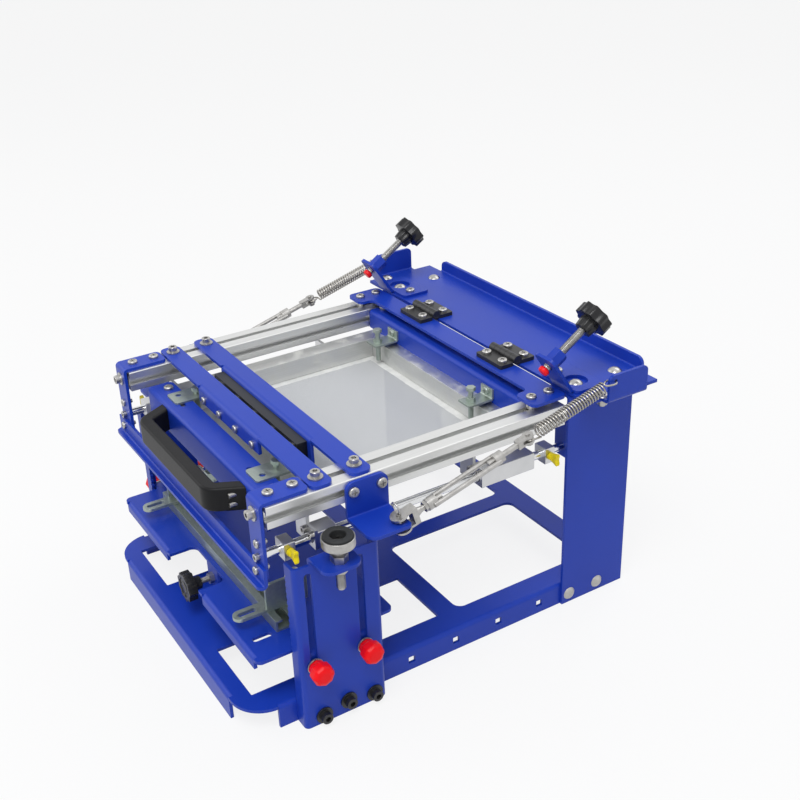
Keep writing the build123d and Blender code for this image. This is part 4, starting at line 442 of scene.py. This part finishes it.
BLACK = (rgb(0.010, 0.010, 0.011), rgb(0.020, 0.020, 0.022))
RED = (rgb(0.86, 0.004, 0.008), rgb(0.97, 0.008, 0.014))
YELLOW = (rgb(0.78, 0.60, 0.004), rgb(0.90, 0.74, 0.008))
register(moulding("handle_plastic", rgb(0.007, 0.007, 0.008), rgb(0.013, 0.013, 0.014), 0.36, 0.03, shine=0.15))
register(moulding("red_cap", *RED, 0.35))
register(moulding("blade_rubber", rgb(0.02, 0.20, 0.06), rgb(0.04, 0.30, 0.10), 0.45))

# %% [markdown]
# ## Dress the parts that keep their CAD shape
# Most parts are right as they are: bent sheet, extrusion, turned steel. They keep their meshes
# and only get a finish in their material slot. One dictionary says which finish goes where, and
# the loop complains by name if a part were forgotten.

# %% Give the CAD parts their finishes
DRESS = {
    "blue_powder_coat": ["base_plate", "rear_legs", "rear_tray", "limit_brackets", "towers", "platform",
                         "cross_plate", "front_brackets", "lower_bar", "squeegee_bar_front",
                         "squeegee_bar_rear", "spring_anchors", "shaft_hangers", "front_channel",
                         "rear_channel"],
    "anodised_rail": ["side_rails"],
    "dark_anodised": ["squeegee_holder"],
    "mitred_frame": ["screen_frame"],
    "machined_aluminium": ["bearing_blocks"],
    "ground_shaft": ["guide_shafts"],
    "spangled_zinc": ["platform_track", "frame_clamps"],
    "bright_steel": ["frame_bolts", "carrier_screws", "carriage_screws", "platform_screws"],
    "black_steel": ["hinge_leaves_fixed", "hinge_leaves_moving", "tower_bolts"],
    "handle_plastic": ["handle"],
    "blade_rubber": ["squeegee_blade"],
}
for side in SIDES:
    DRESS["bright_steel"] += [f"turnbuckle_{side}", f"roller_{side}"]
    DRESS["spangled_zinc"].append(f"roller_tongue_{side}")
    DRESS["red_cap"] = DRESS.get("red_cap", []) + [f"limit_tip_{side}"]
    DRESS["machined_aluminium"] += [f"stop_collar_{end}_{side}" for end in ("front", "rear")]


def dress(obj, finish):
    """Puts one finish in an object's only material slot."""
    if not obj.data.materials:
        obj.data.materials.append(None)
    for slot in obj.material_slots:
        slot.material = FINISHES[finish]


for finish, nodes in DRESS.items():
    for node in nodes:
        dress(frame["nodes"][node], finish)
plain = set(frame["nodes"]) - {node for nodes in DRESS.values() for node in nodes}
print("still to be modelled:", sorted(plain))

# %% [markdown]
# ## Modelling helpers
# Operators act on whatever is selected, so each step first selects one object and nothing else,
# and then picks the faces it wants by their place or direction. A finished piece has its place in
# its mesh and its object at the origin, which keeps patterns on Object coordinates in step.

# %% Select, pick, place
def only(obj):
    """Selects one object and makes it active."""
    if bpy.context.mode != "OBJECT":
        bpy.ops.object.mode_set(mode="OBJECT")
    bpy.ops.object.select_all(action="DESELECT")
    if obj:
        obj.select_set(True)
        bpy.context.view_layer.objects.active = obj
    return obj


def primitive(kind, name, **settings):
    """Adds a primitive with its place in its mesh."""
    only(None)
    getattr(bpy.ops.mesh, f"primitive_{kind}_add")(**settings)
    obj = bpy.context.object
    obj.name = name
    bpy.ops.object.transform_apply(location=True, rotation=True, scale=True)
    return obj


def pick(obj, test, parts="polygons"):
    """Enters edit mode with the faces, or vertices, that pass a test on their place and direction."""
    only(obj)
    flags = (parts == "vertices", False, parts == "polygons")
    bpy.context.tool_settings.mesh_select_mode = flags
    bpy.ops.object.mode_set(mode="EDIT")
    bpy.ops.mesh.select_all(action="DESELECT")
    bpy.ops.object.mode_set(mode="OBJECT")
    count = 0
    for item in getattr(obj.data, parts):
        place = item.center if parts == "polygons" else item.co
        item.select = bool(test(place, item.normal))
        count += item.select
    bpy.ops.object.mode_set(mode="EDIT")
    return count


def step(x=0.0, y=0.0, z=0.0):
    """Extrudes the picked faces by a distance."""
    bpy.ops.mesh.extrude_region_move(TRANSFORM_OT_translate={"value": (x, y, z)})


def resize(x, y=None, z=1.0, centre=(0, 0, 0)):
    bpy.ops.transform.resize(value=(x, x if y is None else y, z), center_override=centre)


def modify(obj, kind, **settings):
    """Adds a modifier with its settings and applies it."""
    only(obj)
    modifier = obj.modifiers.new(kind.title(), kind)
    for name, value in settings.items():
        setattr(modifier, name, value)
    bpy.ops.object.modifier_apply(modifier=modifier.name)


def tidy(obj, angle=35):
    """Outward normals, and smooth shading up to an angle."""
    only(obj)
    bpy.ops.object.mode_set(mode="EDIT")
    bpy.ops.mesh.select_all(action="SELECT")
    bpy.ops.mesh.remove_doubles(threshold=0.001 * MM)
    bpy.ops.mesh.normals_make_consistent(inside=False)
    bpy.ops.object.mode_set(mode="OBJECT")
    bpy.ops.object.shade_smooth_by_angle(angle=math.radians(angle))
    return obj


def joined(name, *objects):
    only(objects[0])
    for obj in objects:
        obj.select_set(True)
    bpy.ops.object.join()
    objects[0].name = name
    return objects[0]


def axis_place(origin, direction):
    """A matrix that takes the Z axis at the world's origin to a direction at a place."""
    turn = Vector(direction).to_track_quat("Z", "Y").to_matrix().to_4x4()
    return Matrix.Translation(origin) @ turn


def copy_to(pattern, name, matrix, body, slot, finish, node=None):
    """A copy of a pattern piece with its own mesh, placed, dressed and riding on a body."""
    mesh = pattern.data.copy()
    mesh.transform(matrix)
    if matrix.determinant() < 0:
        mesh.flip_normals()
    piece = bpy.data.objects.new(name, mesh)
    bpy.context.scene.collection.objects.link(piece)
    dress(piece, finish)
    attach(piece, body)
    if node:
        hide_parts(node)
    return piece


def discard(*patterns):
    for pattern in patterns:
        bpy.data.objects.remove(pattern)


def triangles(obj):
    return sum(len(face.vertices) - 2 for face in obj.data.polygons)


# %% [markdown]
# ## Springs
# Each link ends in an extension spring: a long open coil with a round hook at both ends. In the
# frame it is one wound tube. Here the same winding is drawn as a curve whose points come from the
# helix formula, because no primitive winds a hook out of a coil, and it is bevelled to the wire's
# thickness. As the carrier rises the coil closes up; the share by which it shortens is worked out
# and printed, and the coil itself is not squashed.

# %% Wind the springs
WIRE_RADIUS = 0.85 * MM
COIL_RADIUS = 5.4 * MM
COIL_TURNS = 26
COIL_PITCH = 2.9 * MM
HOOK_RADIUS = 5.6 * MM
HOOK_NECK = 2.2 * MM
POINTS_PER_TURN = 16
PIN_TO_HOOK = 99.0 * MM


def spring_points():
    """The wire's middle line along Z, from the far hook's end to the near one's."""
    half = COIL_TURNS / 2 - 0.11
    steps = round(2 * half * POINTS_PER_TURN)
    coil = []
    for i in range(steps + 1):
        turn = -half + 2 * half * i / steps
        angle = 2 * math.pi * turn
        coil.append(Vector((COIL_RADIUS * math.cos(angle), COIL_RADIUS * math.sin(angle), COIL_PITCH * turn)))
    centre = COIL_TURNS * COIL_PITCH / 2 + HOOK_NECK + HOOK_RADIUS
    hook = []
    for degrees in range(25, 236, 21):
        angle = math.radians(degrees)
        hook.append(Vector((HOOK_RADIUS * math.cos(angle), 0, centre + HOOK_RADIUS * math.sin(angle))))
    far_hook = [Vector((p.x, -p.y, -p.z)) for p in reversed(hook)]
    return far_hook + coil + hook


def wire(name, points, radius):
    """A smooth closed-ended tube through points, as a mesh."""
    curve = bpy.data.curves.new(name, "CURVE")
    curve.dimensions = "3D"
    curve.bevel_depth = radius
    curve.bevel_resolution = 3
    curve.resolution_u = 3
    curve.use_fill_caps = True
    spline = curve.splines.new("NURBS")
    spline.points.add(len(points) - 1)
    for point, place in zip(spline.points, points):
        point.co = (*place, 1.0)
    spline.order_u = 4
    spline.use_endpoint_u = True
    obj = bpy.data.objects.new(name, curve)
    bpy.context.scene.collection.objects.link(obj)
    only(obj)
    bpy.ops.object.convert(target="MESH")
    return tidy(bpy.context.object, 60)


pattern = wire("spring_pattern", spring_points(), WIRE_RADIUS)
for side in SIDES:
    hinge = joint(f"spring_{side}_swing")
    draw = joint(f"link_{side}_draw")
    hook_place = Vector(hinge["pos_m"])
    heading = Vector(draw["axis"])
    to_middle = COIL_TURNS * COIL_PITCH / 2 + HOOK_NECK + 2 * HOOK_RADIUS
    turn = Matrix((Vector((SIDES[side], 0, 0)), heading.cross(Vector((1, 0, 0))), heading)).transposed().to_4x4()
    matrix = Matrix.Translation(hook_place - heading * to_middle) @ turn
    piece = copy_to(pattern, f"wound_spring_{side}", matrix, f"spring_{side}", "spring_wire", "spring_wire",
                    f"spring_{side}")
    shorter = 1 - draw["range_m"][1] / PIN_TO_HOOK
    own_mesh(piece)
    print(piece.name, triangles(piece), "triangles, shortens to", round(shorter, 3))
discard(pattern)

# %% [markdown]
# ## The woven screen
# A stretched screen is a plain weave of fine threads, glued round its rim to the frame and left
# slightly see-through. It lies dead flat, so a fine grid is enough; the threads are two crossing
# waves in the bump, and the rim, where glue fills the weave, is paler and closed. The distance
# from the rim comes from Object coordinates, and a little noise keeps the glue line hand-made.

# %% Weave the screen
THREAD_PITCH = 0.9 * MM
GLUE_WIDTH = 17.0 * MM
MESH_RAISE = 0.1 * MM


def woven_mesh():
    low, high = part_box("screen_mesh")
    centre = (low + high) / 2
    finish = Finish("woven_mesh", roughness=0.5)
    x, y, z = finish.axes(shift=(-centre.x, -centre.y, 0))
    ragged = finish.noise(160, 3.0)
    patchy = finish.noise(26, 3.0)
    from_side = (high.x - low.x) / 2 - abs(x)
    from_end = (high.y - low.y) / 2 - abs(y)
    to_rim = finish.node("ShaderNodeMath", {"operation": "MINIMUM"}, [from_side, from_end])
    glue = ((GLUE_WIDTH + 2.5 * MM * ragged - to_rim) * 700).clipped()
    turns = 2 * math.pi / THREAD_PITCH
    warp = abs((x * turns).sine())
    weft = abs((y * turns).sine())
    weave = warp * 0.5 + weft * 0.5
    open_cloth = finish.mix(weave, rgb(0.49, 0.51, 0.53), rgb(0.68, 0.69, 0.70))
    glued = finish.mix(ragged * patchy * 2, rgb(0.60, 0.61, 0.60), rgb(0.84, 0.84, 0.82))
    finish.feed({"Base Color": finish.mix(glue, open_cloth, glued),
                 "Alpha": 0.60 + 0.22 * weave + 0.34 * glue,
                 "Roughness": 0.42 + 0.2 * ragged,
                 "Normal": finish.bump(weave * (1 - glue * 0.7) + ragged * glue, 0.12 * MM)})
    return finish


register(woven_mesh())
low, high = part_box("screen_mesh")
screen = primitive("grid", "woven_screen", x_subdivisions=48, y_subdivisions=48, size=1)
screen.data.transform(Matrix.Translation((*((low + high) / 2).xy, low.z + MESH_RAISE))
                      @ Matrix.Diagonal((high.x - low.x, high.y - low.y, 1, 1)))
modify(screen, "SOLIDIFY", thickness=0.25 * MM, offset=1.0)
dress(tidy(screen), "woven_mesh")
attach(screen, "carriage")
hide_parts("screen_mesh")
print("screen cloth", round((high.x - low.x) / MM), "by", round((high.y - low.y) / MM), "mm")

# %% [markdown]
# ## Threads
# A real thread is a ridge that climbs round a core. The Screw modifier does just that: it turns a
# small triangle round Z while it lifts it one pitch a turn. The core is a cylinder with a bevelled
# end, and the two stay separate shells, as the ridge's foot is hidden inside the core.

# %% A threaded rod
def threaded_rod(name, radius, low, high, pitch, sides=20):
    """A rod along Z from low to high with a thread of one pitch."""
    depth = 0.6 * pitch
    core = primitive("cylinder", name, vertices=sides, radius=radius - depth, depth=high - low,
                     location=(0, 0, (low + high) / 2))
    modify(core, "BEVEL", width=0.4 * MM, segments=2, limit_method="ANGLE", angle_limit=math.radians(60))
    ridge_radius = 0.52 * pitch
    ridge = primitive("circle", "ridge", vertices=3, radius=ridge_radius,
                      rotation=(math.pi / 2, math.pi / 2, 0),
                      location=(radius - ridge_radius, 0, low + pitch))
    turns = int((high - low) / pitch) - 2
    modify(ridge, "SCREW", axis="Z", screw_offset=pitch, iterations=turns, steps=sides,
           render_steps=sides)
    only(ridge)
    bpy.ops.object.mode_set(mode="EDIT")
    bpy.ops.mesh.select_all(action="SELECT")
    bpy.ops.mesh.fill_holes(sides=3)
    bpy.ops.object.mode_set(mode="OBJECT")
    return tidy(joined(name, core, ridge), 40)


# %% [markdown]
# ## Stop pads
# Each tower carries a levelling stud: a threaded rod whose pressed steel cup holds a thick rubber
# ring, and the screen's bar comes down on that ring. The cup is one disc, inset and extruded into
# a wall. The ring starts as a cylinder with its middle inset away, and its rim is well rounded.

# %% Cup and rubber ring
PAD_RADIUS = 13.97 * MM
RING_HOLE = 6.5 * MM
CUP_LOW = 188.0 * MM
CUP_HIGH = 196.0 * MM
PAD_TOP = 198.0 * MM
STUD_LOW = 146.0 * MM


def pad_cup():
    floor = 2.0 * MM
    cup = primitive("cylinder", "cup", vertices=64, radius=PAD_RADIUS, depth=floor,
                    location=(0, 0, CUP_LOW + floor / 2))
    pick(cup, lambda place, facing: facing.z > 0.9)
    bpy.ops.mesh.inset(thickness=1.2 * MM)
    pick(cup, lambda place, facing: facing.z > 0.9 and place.xy.length > PAD_RADIUS - 1.3 * MM)
    step(z=CUP_HIGH - CUP_LOW - floor)
    bpy.ops.object.mode_set(mode="OBJECT")
    modify(cup, "BEVEL", width=0.35 * MM, segments=3, limit_method="ANGLE", angle_limit=math.radians(50))
    return tidy(cup)


def rubber_ring():
    low = CUP_LOW + 2 * MM
    ring = primitive("cylinder", "ring", vertices=64, radius=PAD_RADIUS - 1.3 * MM, depth=PAD_TOP - low,
                     location=(0, 0, (low + PAD_TOP) / 2))
    pick(ring, lambda place, facing: abs(facing.z) > 0.9)
    bpy.ops.mesh.inset(thickness=PAD_RADIUS - 1.3 * MM - RING_HOLE)
    pick(ring, lambda place, facing: abs(facing.z) > 0.9 and place.xy.length < 0.1 * MM)
    bpy.ops.mesh.bridge_edge_loops()
    bpy.ops.object.mode_set(mode="OBJECT")
    modify(ring, "BEVEL", width=1.3 * MM, segments=5, limit_method="ANGLE", angle_limit=math.radians(50))
    return tidy(ring)


register(moulding("pad_rubber", rgb(0.012, 0.013, 0.014), rgb(0.030, 0.032, 0.034), 0.50, 0.05, 0.3))
stud = threaded_rod("stud", 4.0 * MM, STUD_LOW, CUP_LOW + 1 * MM, 1.25 * MM)
cup = pad_cup()
ring = rubber_ring()
for side in SIDES:
    node = f"stop_pad_{side}"
    matrix = Matrix.Translation((*middle(node).xy, 0))
    for pattern, part, finish in ((stud, "stud", "bright_steel"), (cup, "cup", "bright_steel"),
                                  (ring, "ring", "pad_rubber")):
        piece = copy_to(pattern, f"pad_{part}_{side}", matrix, node,
                        "black_plastic" if part == "ring" else "bright_steel", finish, node)
        print(piece.name, triangles(piece), "triangles")
discard(stud, cup, ring)

# %% [markdown]
# ## Star knobs
# A star knob is a wheel of rounded lobes on a ribbed hub. The wheel is a cylinder with eight
# corners a lobe: the corners are pulled in more the nearer they are to a valley, which gives the
# scallops, and a bevel rounds both rims. A shallow recess on top is inset and pushed down.

# %% A scalloped wheel with its hub
LOBES = 9
CORNERS = 8


def scalloped(name, radius, low, high, bite):
    """A disc along Z whose rim has LOBES lobes; bite is the depth of a valley."""
    wheel = primitive("cylinder", name, vertices=LOBES * CORNERS, radius=radius, depth=high - low,
                      location=(0, 0, (low + high) / 2))
    for k in range(1, CORNERS):
        share = (1 - math.cos(2 * math.pi * k / CORNERS)) / 2

        def in_row(place, facing, k=k):
            angle = math.atan2(place.y, place.x) / (2 * math.pi) * LOBES * CORNERS
            return round(angle) % CORNERS == k

        pick(wheel, in_row, "vertices")
        resize(1 - bite * share ** 0.8 / radius, centre=(0, 0, low))
        bpy.ops.object.mode_set(mode="OBJECT")
    return wheel


def star_knob(name, radius, low, high, hub_low, hub_radius):
    wheel = scalloped(name, radius, low, high, radius * 0.12)
    pick(wheel, lambda place, facing: facing.z > 0.9)
    for share, drop in ((0.72, 0.0), (0.96, -0.10), (0.62, 0.0), (0.97, 0.06)):
        step(z=(high - low) * drop)
        resize(share)
    bpy.ops.object.mode_set(mode="OBJECT")
    modify(wheel, "BEVEL", width=radius * 0.06, segments=3, limit_method="ANGLE",
           angle_limit=math.radians(50))
    hub = scalloped("hub", hub_radius, hub_low, low + 1 * MM, hub_radius * 0.09)
    pick(hub, lambda place, facing: facing.z < -0.9)
    resize(0.86, centre=(0, 0, hub_low))
    bpy.ops.object.mode_set(mode="OBJECT")
    modify(hub, "BEVEL", width=0.5 * MM, segments=2, limit_method="ANGLE", angle_limit=math.radians(60))
    return tidy(joined(name, wheel, hub), 40)


# %% [markdown]
# ## Limit screws and the platform knob
# The tray's two long screws set how far the screen may drop, and a small one under the platform
# sets its height. Each is a threaded rod with a star knob moulded on. The joint that turns the
# screw gives its place and direction, so the copies can't drift from the frame.

# %% Place the star-knob screws
register(moulding("knob_gloss", *BLACK, 0.22, 0.015))
rod = threaded_rod("rod", 4.0 * MM, 5.3 * MM, 69.0 * MM, 1.25 * MM)
knob = star_knob("knob", 16.8 * MM, 63.3 * MM, 74.3 * MM, 53.3 * MM, 9.8 * MM)
for side in SIDES:
    turn = joint(f"limit_{side}_turn")
    node = f"limit_screw_{side}"
    matrix = axis_place(turn["pos_m"], turn["axis"])
    copy_to(rod, f"limit_rod_{side}", matrix, node, "bright_steel", "bright_steel", node)
    piece = copy_to(knob, f"limit_knob_{side}", matrix, node, "black_plastic", "knob_gloss", node)
    print(piece.name, triangles(piece), "triangles")
discard(rod, knob)

turn = joint("platform_knob_turn")
matrix = axis_place(turn["pos_m"], turn["axis"])
rod = threaded_rod("rod", 3.0 * MM, -17.8 * MM, 13.0 * MM, 1.0 * MM)
knob = star_knob("knob", 15.0 * MM, 16.0 * MM, 25.0 * MM, 8.0 * MM, 7.2 * MM)
copy_to(rod, "platform_rod", matrix, "platform_knob", "bright_steel", "bright_steel", "platform_knob")
copy_to(knob, "platform_wheel", matrix, "platform_knob", "black_plastic", "knob_gloss", "platform_knob")
discard(rod, knob)
print("platform knob along", turn["axis"])

# %% [markdown]
# ## Red clamp knobs
# Four red eight-sided grips clamp the platform's skirt in the tower slots. One side profile does
# it: an eight-cornered cylinder whose top is extruded and resized in steps, from a narrow foot to
# a full waist and a domed end. The bevel softens every corner as a moulding has it.

# %% Model and place the clamp knobs
def clamp_grip():
    levels = ((2.6, 7.6), (6.2, 7.9), (8.6, 9.9), (15.4, 10.2), (18.4, 8.6), (19.5, 5.2))
    start, radius = levels[0]
    grip = primitive("cylinder", "grip", vertices=8, radius=radius * MM, depth=0.5 * MM,
                     location=(0, 0, (start + 0.25) * MM))
    top = start + 0.5
    for height, wide in levels[1:]:
        pick(grip, lambda place, facing, top=top: facing.z > 0.9 and place.z > (top - 0.1) * MM)
        step(z=(height - top) * MM)
        resize(wide / radius, centre=(0, 0, height * MM))
        bpy.ops.object.mode_set(mode="OBJECT")
        top, radius = height, wide
    modify(grip, "BEVEL", width=0.9 * MM, segments=3, limit_method="ANGLE", angle_limit=math.radians(12))
    return tidy(grip, 50)


def clamp_shank():
    shank = threaded_rod("shank", 3.0 * MM, -15.8 * MM, 9.0 * MM, 1.0 * MM)
    washer = primitive("cylinder", "washer", vertices=40, radius=7.5 * MM, depth=1.6 * MM,
                       location=(0, 0, 1.2 * MM))
    modify(washer, "BEVEL", width=0.3 * MM, segments=2, limit_method="ANGLE", angle_limit=math.radians(60))
    return tidy(joined("shank", shank, washer), 40)


register(moulding("red_gloss", *RED, 0.24, shine=0.15))
grip = clamp_grip()
shank = clamp_shank()
for side in SIDES:
    for end in ("front", "rear"):
        turn = joint(f"clamp_knob_{end}_{side}_turn")
        node = f"clamp_knob_{end}_{side}"
        origin = Vector(turn["pos_m"])
        origin.x = SIDES[side] * 175.5 * MM
        matrix = axis_place(origin, turn["axis"])
        copy_to(shank, f"clamp_shank_{end}_{side}", matrix, node, "bright_steel", "bright_steel", node)
        copy_to(grip, f"clamp_grip_{end}_{side}", matrix, node, "red_plastic", "red_gloss", node)
print("clamp grip", triangles(grip), "triangles, four copies")
discard(grip, shank)

# %% [markdown]
# ## Yellow wing screws
# The collars on the guide shafts are locked by small wing screws. The wing is one flat block,
# widened towards its end and thinned towards its tips, with a dip pressed into the middle of the
# outer edge. Its hub is a short cylinder round the steel screw.

# %% Model and place the wing screws
def wing():
    blade = primitive("cube", "wing", size=1, location=(0, 0, 0))
    blade.data.transform(Matrix.Translation((0, 0, 14.6 * MM)) @ Matrix.Diagonal((7.4 * MM, 3.2 * MM, 10.6 * MM, 1)))
    only(blade)
    bpy.ops.object.mode_set(mode="EDIT")
    bpy.ops.mesh.select_all(action="SELECT")
    bpy.ops.mesh.subdivide(number_cuts=3)
    bpy.ops.object.mode_set(mode="OBJECT")
    for low in (12.0, 14.6, 17.3, 19.8):
        pick(blade, lambda place, facing, low=low: place.z > (low - 0.4) * MM, "vertices")
        resize(1.14, centre=(0, 0, 14.6 * MM))
        bpy.ops.object.mode_set(mode="OBJECT")
    pick(blade, lambda place, facing: place.z > 19.0 * MM and abs(place.x) < 1.0 * MM, "vertices")
    bpy.ops.transform.translate(value=(0, 0, -2.2 * MM))
    bpy.ops.object.mode_set(mode="OBJECT")
    pick(blade, lambda place, facing: abs(place.x) > 4.0 * MM, "vertices")
    resize(1.0, 0.7, centre=(0, 0, 14.6 * MM))
    bpy.ops.object.mode_set(mode="OBJECT")
    modify(blade, "SUBSURF", levels=2, render_levels=2)
    return tidy(blade, 60)


def wing_hub():
    hub = primitive("cylinder", "hub", vertices=32, radius=3.8 * MM, depth=5.0 * MM, location=(0, 0, 10.8 * MM))
    pick(hub, lambda place, facing: facing.z > 0.9)
    resize(0.8, centre=(0, 0, 13.3 * MM))
    bpy.ops.object.mode_set(mode="OBJECT")
    modify(hub, "BEVEL", width=0.5 * MM, segments=3, limit_method="ANGLE", angle_limit=math.radians(40))
    return tidy(hub, 50)


register(moulding("wing_yellow", *YELLOW, 0.34))
handle_part = joined("wing", wing(), wing_hub())
screw = threaded_rod("screw", 2.5 * MM, 4.4 * MM, 12.2 * MM, 0.8 * MM)
for side in SIDES:
    for end in ("front", "rear"):
        turn = joint(f"wing_screw_{end}_{side}_turn")
        node = f"wing_screw_{end}_{side}"
        origin = Vector(turn["pos_m"])
        origin.x = SIDES[side] * 152.0 * MM
        heading = Vector(turn["axis"])
        across = Vector((0, 1, 0))
        frame_turn = Matrix((heading.cross(across) * -1, across, heading)).transposed()
        if frame_turn.determinant() < 0:
            frame_turn = Matrix((heading.cross(across), across, heading)).transposed()
        matrix = Matrix.Translation(origin) @ frame_turn.to_4x4()
        copy_to(screw, f"wing_shank_{end}_{side}", matrix, node, "bright_steel", "bright_steel", node)
        copy_to(handle_part, f"wing_grip_{end}_{side}", matrix, node, "yellow_plastic", "wing_yellow", node)
print("wing", triangles(handle_part), "triangles, four copies")
discard(handle_part, screw)

# %% [markdown]
# ## Camera
# The photograph is taken from the front and the right, a little above, with a normal lens. Its
# place and three axes were worked out from points of the press that are sure in the picture.

# %% Set the camera
place = Vector((0.8575, -0.4718, 0.6912))
right = Vector((0.5325, 0.8458, -0.0342)).normalized()
back = Vector((0.7628, -0.4620, 0.4524)).normalized()
up = back.cross(right).normalized()
right = up.cross(back).normalized()
lens = bpy.data.cameras.new("camera")
lens.lens = 51.05
lens.sensor_width = 36.0
camera = bpy.data.objects.new("camera", lens)
bpy.context.scene.collection.objects.link(camera)
camera.matrix_world = Matrix.Translation(place) @ Matrix((right, up, back)).transposed().to_4x4()
bpy.context.scene.camera = camera
print("camera", round((place - Vector((0, 0, 0.15))).length, 3), "m from the press")

# %% [markdown]
# ## Floor, light and background
# The press stands on a pale floor that runs out to white. The camera, and mirrors such as the
# rods, see the plain backdrop through Light Path at a strength of one, while the light that falls
# on the press comes from three large soft lamps and a gentle sky.

# %% Lay the floor
SHADOW_SHARE = 0.16


def floor_finish():
    """Pale board in the light, and mostly plain white to the camera, so the shadow stays faint."""
    finish = Finish("floor_white", roughness=0.6)
    grain = finish.noise(300, 2.0)
    finish.feed({"Base Color": finish.mix(grain, rgb(0.78, 0.78, 0.79), rgb(0.82, 0.82, 0.82)),
                 "Normal": finish.bump(grain, 0.02 * MM)})
    camera_ray = finish.node("ShaderNodeLightPath", output="Is Camera Ray")
    glossy_ray = finish.node("ShaderNodeLightPath", output="Is Glossy Ray")
    plain = finish.node("ShaderNodeEmission", {}, {"Color": rgb(1, 1, 1), "Strength": 1.0})
    seen = finish.node("ShaderNodeMixShader", {}, {0: (camera_ray + glossy_ray) * (1 - SHADOW_SHARE),
                                                   1: Signal(finish, finish.shader.outputs[0]), 2: plain})
    finish.tree.links.new(seen.socket, finish.output.inputs["Surface"])
    return finish


register(floor_finish())
floor = primitive("plane", "floor", size=30, location=(0, 0, 0))
dress(floor, "floor_white")
floor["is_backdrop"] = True

# %% Light the scene
world = bpy.data.worlds.new("studio")
bpy.context.scene.world = world
world.use_nodes = True
tree = world.node_tree
tree.nodes.clear()
sky = tree.nodes.new("ShaderNodeBackground")
seen = tree.nodes.new("ShaderNodeBackground")
paths = tree.nodes.new("ShaderNodeLightPath")
either = tree.nodes.new("ShaderNodeMath")
mixed = tree.nodes.new("ShaderNodeMixShader")
output = tree.nodes.new("ShaderNodeOutputWorld")
sky.inputs["Color"].default_value = rgb(0.95, 0.97, 1.0)
sky.inputs["Strength"].default_value = 0.50
seen.inputs["Color"].default_value = rgb(1, 1, 1)
seen.inputs["Strength"].default_value = 1.0
either.use_clamp = True
either.operation = "ADD"
tree.links.new(paths.outputs["Is Camera Ray"], either.inputs[0])
tree.links.new(paths.outputs["Is Glossy Ray"], either.inputs[1])
tree.links.new(either.outputs[0], mixed.inputs[0])
tree.links.new(sky.outputs[0], mixed.inputs[1])
tree.links.new(seen.outputs[0], mixed.inputs[2])
tree.links.new(mixed.outputs[0], output.inputs["Surface"])

LAMPS = (("key", (0.9, -0.9, 2.2), 1.1, 31), ("fill", (-1.5, -1.2, 1.3), 1.6, 9), ("rim", (-0.2, 1.6, 1.9), 1.3, 10))
for name, spot, size, watts in LAMPS:
    lamp = bpy.data.lights.new(name, "AREA")
    lamp.size = size
    lamp.energy = watts
    holder = bpy.data.objects.new(name, lamp)
    bpy.context.scene.collection.objects.link(holder)
    towards = Vector((0, 0, 0.12)) - Vector(spot)
    holder.matrix_world = Matrix.Translation(spot) @ towards.to_track_quat("-Z", "Y").to_matrix().to_4x4()
    print("lamp", name, watts, "W")

bpy.context.scene.view_settings.view_transform = "Standard"

# %% Print the sizes and finish
only(None)
shown_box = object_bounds()
for label, box in (("cad", cad_box), ("visual", shown_box)):
    print(label, [[round(v / MM, 1) for v in corner] for corner in box])
